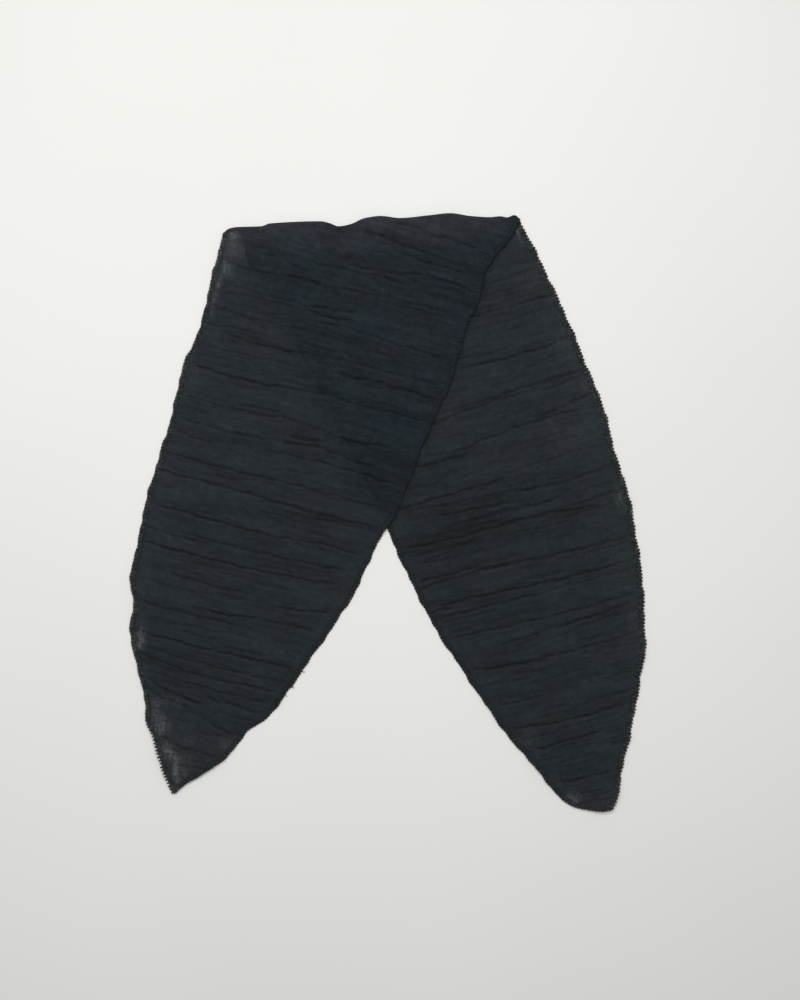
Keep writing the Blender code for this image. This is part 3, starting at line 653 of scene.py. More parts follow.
@dataclass(frozen=True)
class Relief:
    """How creases and slack shape the surface of one stretch."""

    stretch: Stretch
    crown: float = 1.75
    edge_height: float = 1.35
    edge_reach: float = 6.0
    seam_shade: float = 0.3
    seam_width: float = 0.7
    floor_clear: float = 0.35
    depth_scale: float = 1.9
    trough_width: float = 1.0
    line_width: float = 0.56
    painted_shade_width: float = 4.2
    lip_step: float = 2.3
    lip_width: float = 1.4
    lip_share: float = 0.34
    lower_lip: float = 0.6
    tail_share: float = 0.12
    end_fade: float = 6.0
    press_reach: float = 9.0
    line_strength: float = 2.0
    sway: Waves = Waves((29.0, 13.0, 6.1), (0.42, 0.22, 0.1))
    usual_depth: float = 0.84
    waxing: Waves = Waves((43.0, 19.0, 8.0, 3.7), (0.1, 0.1, 0.12, 0.1))
    waxing_seed_step: int = 5000
    forks: int = 2
    fork_length: tuple[float, float] = (0.25, 0.6)
    fork_step: tuple[float, float] = (2.0, 5.5)
    fork_lean: float = 0.6
    fork_depth: tuple[float, float] = (0.2, 0.42)
    faint_count: int = 620
    faint_first: float = 4.0
    faint_length: tuple[float, float] = (10.0, 80.0)
    faint_rise: float = 0.035
    faint_bow: float = 0.012
    faint_least: float = 0.03
    faint_more: float = 0.18
    billow: float = 0.35
    billow_lean: float = 0.15
    billow_along: Waves = Waves((61.0, 37.0, 23.0), (0.5, 0.35, 0.2))
    billow_across: Waves = Waves((83.0, 47.0), (0.4, 0.3))
    edge_height_kept: float = 0.3
    glow_reach: float = 20.0

    def _press(self, across: Array, along: Array, crease: Crease, key: int, out: Pressed) -> None:
        """Press one crease in.

        Args:
            across: Across of each point.
            along: Along of each point.
            crease: The crease.
            key: Picks the crease's own small waves.
            out: What the creases do so far, changed in place.
        """
        tail = self.tail_share * (crease.end - crease.start)
        start, end = crease.start - tail, crease.end + tail
        slack = self.press_reach + abs(crease.rise) / 2 + abs(crease.bow)
        near = (across > start) & (across < end) & (abs(along - crease.along) < slack)
        if not near.any():
            return
        a, u = across[near], along[near]
        t = (a - crease.start) / (crease.end - crease.start)
        middle = crease.along + crease.rise * (t - 0.5) + crease.bow * 4 * t * (1 - t)
        middle += ripple(a, key, self.sway)
        waxing = self.usual_depth + ripple(a, key + self.waxing_seed_step, self.waxing)
        whole = (a - start) / (end - start)
        ends = smooth_step(self.end_fade * np.minimum(whole, 1 - whole))
        power = crease.depth * waxing * ends
        away = u - middle
        trough = np.exp(-((away / self.trough_width) ** 2))
        lips = np.exp(-(((away - self.lip_step) / self.lip_width) ** 2))
        lips += self.lower_lip * np.exp(-(((away + self.lip_step) / self.lip_width) ** 2))
        out.height[near] += self.depth_scale * power * (self.lip_share * lips - trough)
        # Painted shade: a sharp dark line in the trough and soft shade round it. Painted highlights on the
        # lips.
        line = np.exp(-((away / self.line_width) ** 2))
        out.line[near] = np.maximum(out.line[near], self.line_strength * power * line)
        out.painted_shade[near] += power * np.exp(-((away / self.painted_shade_width) ** 2))
        out.painted_highlight[near] += power * lips

    def faint_creases(self) -> list[Crease]:
        """Draw the faint creases: forks beside the main ones, and many more between them.

        Returns:
            The faint creases.
        """
        rng = np.random.default_rng(self.stretch.seed)
        drawn = []
        for main in self.stretch.creases:
            drawn += [self._fork(main, rng) for _ in range(self.forks)]
        rows = np.array(self.stretch.left_edge + self.stretch.right_edge)
        low, high = rows[:, 1].min(), rows[:, 1].max()
        last = rows[:, 0].max()
        shortest, longest = np.log(self.faint_length)
        for _ in range(self.faint_count):
            length = math.exp(rng.uniform(shortest, longest))
            start = rng.uniform(low, high - length / 2)
            depth = self.faint_least + self.faint_more * rng.random() ** 2
            rise = rng.normal(0.0, self.faint_rise) * length
            along = rng.uniform(self.faint_first, last)
            bow = rng.normal(0.0, self.faint_bow) * length
            drawn.append(Crease(start, start + length, along, rise, bow, depth))
        return drawn

    def _fork(self, main: Crease, rng: np.random.Generator) -> Crease:
        """Draw one fainter crease that leans away from a main one.

        Args:
            main: The main crease.
            rng: Draws the fork.

        Returns:
            The fork.
        """
        whole = main.end - main.start
        length = whole * rng.uniform(*self.fork_length)
        start = rng.uniform(main.start, main.end - length)
        t = (start + length / 2 - main.start) / whole
        step = rng.choice([-1.0, 1.0]) * rng.uniform(*self.fork_step)
        along = main.along + main.rise * (t - 0.5) + main.bow * 4 * t * (1 - t) + step
        rise = main.rise * length / whole - self.fork_lean * step
        depth = main.depth * rng.uniform(*self.fork_depth)
        return Crease(start, start + length, along, rise, 0.0, depth)

    def shape(self, across: Array, along: Array, inset: Array) -> Pressed:
        """Give the surface over what the cloth lies on.

        Args:
            across: Across of each point.
            along: Along of each point.
            inset: How far each point lies inside the cut edge.

        Returns:
            The height in millimetres, and the painted dark fold lines from 0 to about 1, soft shade and ridge
            highlights.
        """
        out = Pressed(*(np.zeros_like(across) for _ in Pressed._fields))
        for key, crease in enumerate(self.stretch.creases):
            self._press(across, along, crease, self.stretch.seed * 100 + key, out)
        for key, crease in enumerate(self.faint_creases()):
            self._press(across, along, crease, self.stretch.seed * 1000 + key, out)
        slack = ripple(along + self.billow_lean * across, self.stretch.seed + 1, self.billow_along)
        slack *= 1.0 + ripple(across, self.stretch.seed + 2, self.billow_across)
        height = out.height + self.crown + self.billow * slack
        kept = self.edge_height_kept + (1.0 - self.edge_height_kept) * smooth_step(inset / self.edge_reach)
        height = self.edge_height + (height - self.edge_height) * kept
        height = np.maximum(height, self.floor_clear)
        return Pressed(height, out.line, np.minimum(out.painted_shade, 1.0), np.minimum(out.painted_highlight, 1.0))

    def lift(self, across: Array, along: Array) -> Array:
        """Add up the lifted places.

        Args:
            across: Across of each point.
            along: Along of each point.

        Returns:
            How far the cloth stands off the table at each point.
        """
        total = np.zeros_like(across)
        for lift in self.stretch.lifts:
            away = np.hypot(across - lift.across, along - lift.along) / lift.reach
            total += lift.height * np.exp(-away * away)
        return total

    def soft_places(self, places: list[Patch], across: Array, along: Array) -> Array:
        """Add up soft round places.

        Args:
            places: The places.
            across: Across of each point.
            along: Along of each point.

        Returns:
            What they add at each point.
        """
        total = np.zeros_like(across)
        for place in places:
            away = ((across - place.across) / place.wide) ** 2 + ((along - place.along) / place.high) ** 2
            total += place.strength * np.exp(-away)
        return total

    def edge_glow(self, over: Array, width: Array) -> Array:
        """Give the light that comes in under the open edges.

        Args:
            over: How far over the strip, from 0 at its left edge to 1 at its right one.
            width: The strip's width in each row.

        Returns:
            What it adds to how much shows through.
        """
        left = self.stretch.glow[Side.LEFT] * np.exp(-over * width / self.glow_reach)
        return left + self.stretch.glow[Side.RIGHT] * np.exp(-(1.0 - over) * width / self.glow_reach)


@dataclass(frozen=True)
class FoldLine:
    """The outer line of the fold as one of the two stretches meets it."""

    left_x: float = -121.3
    right_x: float = 98.6
    round_reach: float = 2.4
    lower_height: float = 1.2
    upper_height: float = LAYER + 1.9
    puff_height: float = 3.2
    blend: float = 24.0

    def points(self, columns: int) -> tuple[Array, Array, Array]:
        """Read the line at evenly spaced columns.

        Args:
            columns: How many columns there are.

        Returns:
            The x, the y and the puff at each column.
        """
        rows = np.array(FOLD_ROWS)
        x = np.linspace(self.left_x, self.right_x, columns)
        return x, smooth_table(x, rows[:, 0], rows[:, 1]), smooth_table(x, rows[:, 0], rows[:, 2])


class Placed(NamedTuple):
    """The points of one cloth grid, in rows from the fold down and columns from left to right."""

    x: Array
    y: Array
    z: Array
    across: Array
    along: Array
    # The painted crease lines, the painted soft shade and the painted highlights, then how thin the cloth is.
    crease: Array
    painted_shade: Array
    painted_highlight: Array
    sheer: Array


class ClothEdge(NamedTuple):
    """One side of a cloth grid: its line, and the directions out of the cloth and off its face."""

    line: Array
    outward: Array
    face: Array


def unit(vectors: Array) -> Array:
    """Scale each vector to length 1."""
    return vectors / np.maximum(np.linalg.norm(vectors, axis=-1, keepdims=True), 1e-9)


class Beside(NamedTuple):
    """What the other stretch does to the cloth beside it: how much less shows through, how much painted
    shade.
    """

    closed: Array
    shaded: Array


@dataclass
class ClothShell:
    """The thin crinkled shell of one stretch of the scarf."""

    stretch: Stretch
    relief: Relief
    fold: FoldLine
    base: Callable[[Array, Array], Array]
    beside: Callable[[Array, Array], Beside]
    with_turn: bool
    band: float
    seam_side: Side
    rows: int = 970
    columns: int = 100
    turn_rows: int = 14
    fold_blend: float = 34.0
    rolled_shade: float = 0.36
    rolled_reach: float = 1.5
    fold_light: float = 1.0
    fold_light_flat: float = 0.3
    fold_light_reach: float = 34.0
    line_fade: float = 3.0
    edge_columns: int = 3
    placed: Placed = field(init=False)

    def _spread_out(self, share: Array, over: Array) -> tuple[Array, Array, Array]:
        """Spread the grid over the page, with its first row on the fold.

        Args:
            share: How far down the stretch each row is, from 0 to 1.
            over: How far over the strip each column is, from 0 to 1.

        Returns:
            The x and the y of each point, and how far the turn puffs up in each column.
        """
        left_across, left_along = self.stretch.edge_at(Side.LEFT, share)
        right_across, right_along = self.stretch.edge_at(Side.RIGHT, share)
        across = left_across + (right_across - left_across) * over
        along = left_along + (right_along - left_along) * over
        x, y = self.stretch.to_page(across, along)
        fold_x, fold_y, puff = self.fold.points(self.columns)
        fade = 1.0 - smooth_step((np.hypot(x - x[:1], y - y[:1])) / self.fold_blend)
        x = x + (fold_x - x[0]) * fade
        y = y + (fold_y - self.fold.round_reach - y[0]) * fade
        return x, y, puff

    def _meet_fold(self, z: Array, from_fold: Array, puff: Array) -> Array:
        """Bring the heights near the fold to the turn's own.

        Args:
            z: The height of each point.
            from_fold: How far each point lies from the first row.
            puff: How far the turn puffs up in each column.

        Returns:
            The heights.
        """
        near_fold = 1.0 - smooth_step(from_fold / self.fold.blend)
        if not self.with_turn:
            return z + (self.fold.lower_height - z) * near_fold
        step = self.fold.upper_height - LAYER - self.relief.crown
        z = z + (step + self.fold.puff_height * puff) * near_fold
        z[:1] = np.maximum(z[:1], self.fold.upper_height)
        return z

    def lay_out(self) -> Placed:
        """Work out the grid of the stretch, and of the turn where it carries it.

        Returns:
            The placed points.
        """
        share = np.linspace(0.0, 1.0, self.rows)[:, None]
        over = np.linspace(0.0, 1.0, self.columns)[None, :]
        x, y, puff = self._spread_out(share, over)
        across, along = self.stretch.to_stretch(x, y)
        from_fold = np.hypot(x - x[:1], y - y[:1])
        width = np.hypot(x[:, -1:] - x[:, :1], y[:, -1:] - y[:, :1])
        inset = np.minimum(over, 1.0 - over) * width
        pressed = self.relief.shape(across, along, inset)
        z = self.base(x, y) + pressed.height + self.relief.lift(across, along)
        z = self._meet_fold(z, from_fold, puff)

        in_left_half, in_right_half = over < 0.5, over > 0.5
        seam_half, rolled_half = in_left_half, in_right_half
        if self.seam_side is Side.RIGHT:
            seam_half, rolled_half = in_right_half, in_left_half
        # Painted shade: a dark line along the seam on one side, and the shade of the rolled edge on the
        # other.
        seam = self.relief.seam_shade * np.exp(-(((inset - self.band) / self.relief.seam_width) ** 2))
        rolled = self.rolled_shade * np.exp(-((inset / self.rolled_reach) ** 2))
        crease = np.maximum(pressed.line * smooth_step(inset / self.line_fade), seam * seam_half)
        # Painted highlight along the puffed turn of the fold, added to the highlights on the crease lips.
        painted_highlight = pressed.painted_highlight
        if self.with_turn:
            near = 1.0 - smooth_step(from_fold / self.fold_light_reach)
            puffed = self.fold_light_flat + (1.0 - self.fold_light_flat) * puff
            painted_highlight = painted_highlight + self.fold_light * puffed * near
        beside = self.beside(x, y)
        sheer = self.relief.soft_places(self.stretch.patches, across, along)
        sheer = np.minimum(sheer + self.relief.edge_glow(over, width) - beside.closed, 1.0)
        # Painted shade: round the creases, at the broad shades, beside the other stretch and on the rolled
        # edge.
        painted_shade = pressed.painted_shade + self.relief.soft_places(self.stretch.shades, across, along)
        painted_shade = painted_shade + beside.shaded + rolled * rolled_half
        placed = Placed(x, y, z, across, along, crease, painted_shade, painted_highlight, sheer)
        return self._add_turn(placed) if self.with_turn else placed

    def _add_turn(self, placed: Placed) -> Placed:
        """Put the rows of the turn ahead of the stretch's own rows.

        Args:
            placed: The stretch's own rows.

        Returns:
            All the rows, from under the fold, round it and down the stretch.
        """
        angle = np.linspace(-math.pi / 2, math.pi / 2, self.turn_rows + 1)[:-1, None]
        low, high = self.fold.lower_height, placed.z[:1]
        middle, half = (low + high) / 2, (high - low) / 2
        reach = self.fold.round_reach
        out = reach * np.cos(angle) * np.ones_like(placed.x[:1])
        x = placed.x[:1] + 0 * angle
        y = placed.y[:1] + out
        z = middle + half * np.sin(angle)
        travelled = half * (angle - math.pi / 2)
        along = placed.along[:1] + travelled
        across = placed.across[:1] + 0 * angle
        looks = (placed.crease, placed.painted_shade, placed.painted_highlight, placed.sheer)
        turn = Placed(x, y, z, across, along, *(look[:1] + 0 * x for look in looks))
        return Placed(*(np.concatenate(pair) for pair in zip(turn, placed)))

    def build(self, name: str, finish: "CrinkledCloth") -> bpy.types.Object:
        """Make the shell's mesh.

        Args:
            name: The piece's name.
            finish: The cloth's finish.

        Returns:
            The piece.
        """
        self.placed = self.lay_out()
        p = self.placed
        vertices = np.stack([p.x - MIDDLE[0], p.y - MIDDLE[1], p.z], axis=-1).reshape(-1, 3) * MM
        row_count, column_count = p.x.shape
        index = np.arange(row_count * column_count).reshape(row_count, column_count)
        quads = np.stack([index[:-1, :-1], index[1:, :-1], index[1:, 1:], index[:-1, 1:]], axis=-1)
        mesh = mesh_from(name, vertices, quads.reshape(-1, 4))
        put_uv(mesh, p.across.ravel() * MM, p.along.ravel() * MM)
        for value in ("crease", "painted_shade", "painted_highlight", "sheer"):
            put_values(mesh, value, getattr(p, value).ravel())
        piece = add_piece(name, mesh, finish.material())
        log.info("%s: %d points", name, len(vertices))
        return piece

    def edge(self, side: Side) -> ClothEdge:
        """Give one side of the shell for its stitches to follow.

        Args:
            side: Which side.

        Returns:
            The line, and the directions out of the cloth and off its face, in millimetres.
        """
        p = self.placed
        last = 0 if side is Side.LEFT else -1
        inner = last - side.value * self.edge_columns
        grid = np.stack([p.x, p.y, p.z], axis=-1)
        line = grid[:, last]
        run = unit(np.gradient(line, axis=0))
        outward = line - grid[:, inner]
        outward = unit(outward - run * np.sum(outward * run, axis=-1, keepdims=True))
        face = unit(np.cross(run, outward)) * side.value
        return ClothEdge(line, outward, face)


def mesh_from(name: str, vertices: Array, faces: Array) -> bpy.types.Mesh:
    """Make a smooth-shaded mesh.

    Args:
        name: The mesh's name.
        vertices: The points, in metres.
        faces: The faces as rows of point numbers, all of one size.

    Returns:
        The mesh.
    """
    mesh = bpy.data.meshes.new(name)
    size = faces.shape[1]
    mesh.vertices.add(len(vertices))
    mesh.vertices.foreach_set("co", np.asarray(vertices, np.float32).ravel())
    mesh.loops.add(faces.size)
    mesh.loops.foreach_set("vertex_index", np.asarray(faces, np.int32).ravel())
    mesh.polygons.add(len(faces))
    mesh.polygons.foreach_set("loop_start", np.arange(0, faces.size, size, dtype=np.int32))
    mesh.update(calc_edges=True)
    mesh.validate()
    mesh.shade_smooth()
    return mesh


def put_uv(mesh: bpy.types.Mesh, u: Array, v: Array) -> None:
    """Give each corner of a mesh the coordinates of its point.

    Args:
        mesh: The mesh.
        u: The first coordinate of each point.
        v: The second coordinate of each point.
    """
    layer = mesh.uv_layers.new(name="strip")
    index = np.empty(len(mesh.loops), np.int32)
    mesh.loops.foreach_get("vertex_index", index)
    layer.data.foreach_set("uv", np.stack([u[index], v[index]], axis=1).astype(np.float32).ravel())


def put_values(mesh: bpy.types.Mesh, name: str, values: Array) -> None:
    """Give each point of a mesh a named value."""
    layer = mesh.attributes.new(name, "FLOAT", "POINT")
    layer.data.foreach_set("value", np.asarray(values, np.float32))


def add_piece(name: str, mesh: bpy.types.Mesh, material: bpy.types.Material) -> bpy.types.Object:
    """Add an object with one material to the scene.

    Args:
        name: The object's name.
        mesh: Its mesh.
        material: Its material.

    Returns:
        The object.
    """
    mesh.materials.append(material)
    piece = bpy.data.objects.new(name, mesh)
    bpy.context.scene.collection.objects.link(piece)
    return piece


class Tube(NamedTuple):
    """A tube of thread: its points and faces, and at each point the length so far and the step out."""

    points: Array
    faces: Array
    travelled: Array
    out: Array


def tube(line: Array, guide: Array, radius: Array, sides: int, out: Array) -> Tube:
    """Run a tube along a line.

    Args:
        line: The points of the line.
        guide: A direction at each point that isn't the line's own.
        radius: The radius at each point.
        sides: How many sides the tube has.
        out: How far out of the cut each point of the line lies.

    Returns:
        The tube.
    """
    run = unit(np.gradient(line, axis=0))
    first = unit(np.cross(run, guide))
    second = np.cross(run, first)
    angle = np.arange(sides) * 2 * math.pi / sides
    ring = first[:, None] * np.cos(angle)[None, :, None] + second[:, None] * np.sin(angle)[None, :, None]
    points = (line[:, None] + ring * radius[:, None, None]).reshape(-1, 3)
    i = np.arange(len(line) - 1)[:, None] * sides
    k = np.arange(sides)[None, :]
    after = (k + 1) % sides
    faces = np.stack([i + k, i + sides + k, i + sides + after, i + after], axis=-1).reshape(-1, 4)
    travelled = np.concatenate([[0.0], np.cumsum(np.linalg.norm(np.diff(line, axis=0), axis=1))])
    return Tube(points, faces, np.repeat(travelled, sides), np.repeat(out, sides))


def rounded(points: Array, parts: int) -> Array:
    """Run a smooth curve through points.

    Args:
        points: The points.
        parts: How many parts there are between each two.

    Returns:
        The points of the curve.
    """
    count = len(points)
    at = np.arange(0, count - 1 + 1e-6, 1.0 / parts)
    keys = np.arange(count, dtype=float)
    return np.stack([smooth_table(at, keys, points[:, k]) for k in range(points.shape[1])], axis=1)


class StitchPoint(NamedTuple):
    """One point of a thread in a stitch.

    The share of the stitch, the step out as a share of the band inside the cut or of the stand outside
    it, and the height off the cloth.
    """

    share: float
    out: float
    height: float


@dataclass(frozen=True)
class StitchThread:
    """One thread of the overlock, as the points that it passes in each stitch."""

    points: list[StitchPoint]
    radius: float
    parts: int
    wander: float
    knot: float = 0.0


UPPER_LOOPER = StitchThread(
    [
        StitchPoint(0.00, -1.00, 0.26),
        StitchPoint(0.17, -0.62, 0.36),
        StitchPoint(0.34, -0.22, 0.38),
        StitchPoint(0.46, 0.35, 0.26),
        StitchPoint(0.54, 0.85, 0.02),
        StitchPoint(0.62, 0.80, -0.16),
        StitchPoint(0.70, 0.30, 0.26),
        StitchPoint(0.84, -0.42, 0.40),
    ],
    radius=0.2, parts=2, wander=0.1, knot=0.35,
)
LOWER_LOOPER = StitchThread(
    [
        StitchPoint(0.05, -0.95, -0.28),
        StitchPoint(0.30, -0.50, -0.36),
        StitchPoint(0.50, 0.45, -0.24),
        StitchPoint(0.58, 0.80, 0.06),
        StitchPoint(0.66, 0.50, -0.26),
        StitchPoint(0.85, -0.50, -0.38),
    ],
    radius=0.17, parts=2, wander=0.09, knot=0.35,
)
NEEDLE = StitchThread(
    [
        StitchPoint(0.00, -1.06, -0.15),
        StitchPoint(0.12, -1.06, 0.24),
        StitchPoint(0.42, -1.04, 0.33),
        StitchPoint(0.72, -1.06, 0.24),
        StitchPoint(0.84, -1.06, -0.15),
    ],
    radius=0.165, parts=1, wander=0.05,
)


CHAIN = StitchThread(
    [
        StitchPoint(0.00, 0.62, -0.05),
        StitchPoint(0.25, 0.52, 0.06),
        StitchPoint(0.55, 0.80, 0.02),
        StitchPoint(0.80, 0.54, -0.06),
    ],
    radius=0.16, parts=2, wander=0.06, knot=0.8,
)


BEADS = StitchThread(
    [
        StitchPoint(0.00, 0.00, 0.10),
        StitchPoint(0.26, 0.50, 0.05),
        StitchPoint(0.44, 0.90, 0.00),
        StitchPoint(0.62, 0.60, 0.08),
        StitchPoint(0.80, 0.10, 0.16),
    ],
    radius=0.15, parts=2, wander=0.06, knot=2.3,
)

# The place across the band that marks the bleached knot at the tip, past every real one.
KNOT_OUT = 4.0


@dataclass(frozen=True)
class ChainKnot:
    """The blunt end of the overlock's thread chain, turned back on itself over the tip."""

    wide: float = 2.7
    long: float = 3.6
    high: float = 0.9
    back: float = 3.9
    aside: float = 1.7
    face_row: int = -24
    turns: int = 7
    turn_points: int = 12
    run_points: int = 12
    least_girth: float = 0.06
    wander: float = 0.12
    skew: float = 0.5
    radius: float = 0.38
    sides: int = 6

    def tube(self, edge: ClothEdge, rng: np.random.Generator) -> Tube:
        """Wind one thread to and fro over the tip.

        Args:
            edge: The edge whose last point is the tip.
            rng: Draws the winding's small waves.

        Returns:
            The thread's tube.
        """
        tip, face = edge.line[-1], edge.face[self.face_row]
        run = unit(tip - edge.line[-self.run_points])
        side = unit(np.cross(face, run))
        share = np.linspace(0.0, 1.0, self.turns * self.turn_points)
        angle = share * self.turns * 2 * math.pi
        girth = np.sqrt(np.clip(1.0 - (2 * share - 1.0) ** 2, self.least_girth, 1.0))
        wander = 1.0 + self.wander * rng.normal(0.0, 1.0, len(share))
        over = (np.cos(angle) * girth * self.wide * wander)[:, None]
        down = ((2 * share - 1.0) * self.long - self.back + self.skew * np.cos(angle))[:, None]
        up = (np.sin(angle) * girth * self.high)[:, None]
        line = tip + side * (self.aside + over) + run * down + face * up
        count = len(line)
        guide, radius = np.tile(run, (count, 1)), np.full(count, self.radius)
        return tube(line, guide, radius, self.sides, np.full(count, KNOT_OUT))


TIP_KNOT = ChainKnot()


class LooseEnd(NamedTuple):
    """One cut end of thread: how far from the tip it leaves the edge, how far it reaches and leans."""

    from_tip: float
    reach: float
    lean: float
    radius: float = 0.24
    height: float = 0.2
    points: int = 6


@dataclass(frozen=True)
class Hair:
    """How the short loose fibres along an edge are drawn."""

    every: float = 13.0
    shift: float = 2.5
    lean: float = 1.0
    reach: tuple[float, float] = (0.5, 1.7)
    bend: float = 0.8
    start: float = 0.3
    height: tuple[float, float] = (-0.4, 0.2)
    radii: tuple[float, ...] = (0.07, 0.06, 0.05, 0.03)
    sides: int = 3


# The cut ends of thread. A separate script worked out how far from the tip each one is, from its pixel.
OVER_RIGHT_ENDS = (
    LooseEnd(134.7, 2.8, -0.8),
    LooseEnd(121.8, 1.4, 0.6),
    LooseEnd(120.8, 2.4, -0.9),
    LooseEnd(113.1, 2.1, 0.8),
)


class SeamFace(Enum):
    """Which face of the overlock shows: the open upper one, or the darker lower one, with weaker painted
    highlights.
    """

    UPPER = "overlock_thread"
    LOWER = "overlock_thread_back"


class EdgeLook(NamedTuple):
    """How one edge is overlocked.

    The band inside the cut, the stand outside it and at the tip, the face that shows, the cut ends of
    thread, and the thread that closes it outside the cut, with how far down the edge it runs.
    """

    band: float
    stand: float
    tip_stand: float
    face: SeamFace
    loose_ends: tuple[LooseEnd, ...] = ()
    closing: StitchThread = CHAIN
    closing_until: float = 1.0


@dataclass
class OverlockEdge:
    """The overlocked edge down one side of a stretch: a needle thread, two loopers and a closing thread."""

    edge: ClothEdge
    seed: int
    look: EdgeLook
    hair: Hair = Hair()
    rung_swell: float = 1.4
    pitch: float = 2.62
    sides: int = 5
    share_jitter: float = 0.045
    out_jitter: float = 0.09

    def _along(self) -> tuple[Array, Callable[[Array], tuple[Array, Array, Array]]]:
        """Measure along the edge.

        Returns:
            The distance of each point of its line, and a reader of the line and directions by distance.
        """
        line = self.edge.line
        travelled = np.concatenate([[0.0], np.cumsum(np.linalg.norm(np.diff(line, axis=0), axis=1))])

        def read(at: Array) -> tuple[Array, Array, Array]:
            """Read the edge at distances along it.

            Args:
                at: The distances.

            Returns:
                The points, and the directions out of the cloth and off its face.
            """
            parts = []
            for source in (line, self.edge.outward, self.edge.face):
                parts.append(np.stack([np.interp(at, travelled, source[:, k]) for k in range(3)], axis=1))
            return parts[0], unit(parts[1]), unit(parts[2])

        return travelled, read

    def _thread(self, thread: StitchThread, rng: np.random.Generator, until: float = 1.0) -> Tube:
        """Lay one thread through the stitches of the edge.

        Args:
            thread: The thread.
            rng: Draws how the stitches vary.
            until: How far down the edge it runs, as a share.

        Returns:
            The thread's tube.
        """
        travelled, read = self._along()
        count = int(travelled[-1] / self.pitch)
        pitch = travelled[-1] / count
        laid = int(count * until)
        pattern = np.array(thread.points)
        grid = np.tile(pattern, (laid, 1)).reshape(laid, len(pattern), 3)
        knots = np.clip(grid[:, :, 1], 0.0, 1.0).reshape(-1)
        opening = near_tip(np.arange(laid)[:, None] / count)
        stand = self.look.stand + (self.look.tip_stand - self.look.stand) * opening
        grid[:, :, 0] += np.arange(laid)[:, None] + rng.normal(0.0, self.share_jitter, (laid, 1))
        grid[:, :, 1] *= np.where(grid[:, :, 1] < 0, self.look.band, stand)
        grid[:, :, 1] *= 1.0 + rng.normal(0.0, self.out_jitter, (laid, 1))
        grid[:, :, 1:] += rng.normal(0.0, thread.wander / 2, (laid, len(pattern), 2))
        flat = grid.reshape(-1, 3)
        at = np.clip(flat[:, 0] * pitch, 0.0, travelled[-1])
        point, outward, face = read(at)
        line = point + outward * flat[:, 1:2] + face * flat[:, 2:3]
        line = rounded(line, thread.parts)
        coarse, fine = np.linspace(0, 1, len(flat)), np.linspace(0, 1, len(line))
        _, outward, face = read(np.interp(fine, coarse, at))
        guide = np.cross(outward, face) if thread is not NEEDLE else outward
        plump = np.interp(fine, coarse, knots)
        thick = near_tip(fine * laid / count) * (self.look.tip_stand > self.look.stand)
        radius = thread.radius * (1.0 + thread.knot * plump) * (1.0 + self.rung_swell * thick * plump)
        return tube(line, guide, radius, self.sides, np.interp(fine, coarse, flat[:, 1]))

    def _loose_ends(self) -> list[Tube]:
        """Leave the cut ends of a thread hanging off the edge, where the photograph shows them.

        Returns:
            A tube for each end.
        """
        travelled, read = self._along()
        ends = []
        for end in self.look.loose_ends:
            point, outward, face = read(np.array([travelled[-1] - end.from_tip]))
            side = np.cross(outward, face)
            share = np.linspace(0.0, 1.0, end.points)[:, None]
            line = point + outward * (end.reach * share) + side * (end.lean * share ** 2) + face * end.height
            radius = np.full(end.points, end.radius)
            ends.append(tube(line, face + 0 * line, radius, self.sides, np.ones(end.points)))
        return ends

    def _hairs(self, rng: np.random.Generator) -> list[Tube]:
        """Stand short loose fibres off the edge.

        Args:
            rng: Draws where they stand and how they lean.

        Returns:
            A tube for each fibre.
        """
        travelled, read = self._along()
        hair = self.hair
        radii = np.array(hair.radii)
        share = np.linspace(0.0, 1.0, len(radii))[:, None]
        hairs = []
        for at in np.arange(hair.every, travelled[-1], hair.every):
            point, outward, face = read(np.array([at + rng.uniform(-hair.shift, hair.shift)]))
            side = np.cross(outward, face)
            lean = rng.uniform(-hair.lean, hair.lean)
            reach = rng.uniform(*hair.reach)
            bend = rng.uniform(-hair.bend, hair.bend)
            line = point + outward * (hair.start + reach * share) + side * (lean * share + bend * share ** 2)
            line = line + face * rng.uniform(*hair.height)
            hairs.append(tube(line, face + 0 * line, radii, hair.sides, np.ones(len(radii))))
        return hairs

    def build(self, name: str, finish: "OverlockThread", knot: "ChainKnot | None") -> bpy.types.Object:
        """Make the edge's mesh.

        Args:
            name: The piece's name.
            finish: The thread's finish.
            knot: The end of the thread chain, on the edge that carries it down to the tip.

        Returns:
            The piece.
        """
        rng = np.random.default_rng(self.seed)
        parts = [self._thread(thread, rng) for thread in (UPPER_LOOPER, LOWER_LOOPER, NEEDLE)]
        parts.append(self._thread(self.look.closing, rng, self.look.closing_until))
        parts += self._hairs(rng) + self._loose_ends()
        if knot:
            parts.append(knot.tube(self.edge, rng))
        piece = tubes_piece(name, parts, finish.material())
        log.info("%s: %d tubes, %d points", name, len(parts), len(piece.data.vertices))
        return piece


def tubes_piece(name: str, parts: list[Tube], material: bpy.types.Material) -> bpy.types.Object:
    """Join tubes into one piece that carries each thread's length and its place across the band.

    Args:
        name: The piece's name.
        parts: The tubes.
        material: The thread's material.

    Returns:
        The piece.
    """
    starts = np.cumsum([0] + [len(part.points) for part in parts])
    faces = np.concatenate([part.faces + start for part, start in zip(parts, starts)])
    vertices = np.concatenate([part.points for part in parts])
    vertices[:, :2] -= MIDDLE
    mesh = mesh_from(name, vertices * MM, faces)
    travelled = np.concatenate([part.travelled for part in parts])
    out = np.concatenate([part.out for part in parts])
    put_uv(mesh, travelled * MM, out * MM)
    return add_piece(name, mesh, material)


Socket = bpy.types.NodeSocket
Colour = tuple[float, float, float, float]


class Span(NamedTuple):
    """A range of numbers and the range that it is mapped to."""

    low: float
    high: float
    to_low: float
    to_high: float


class Grain(NamedTuple):
    """A noise on the strip: its scale across and along, its detail and its roughness."""

    across: float
    along: float
    detail: float
    roughness: float


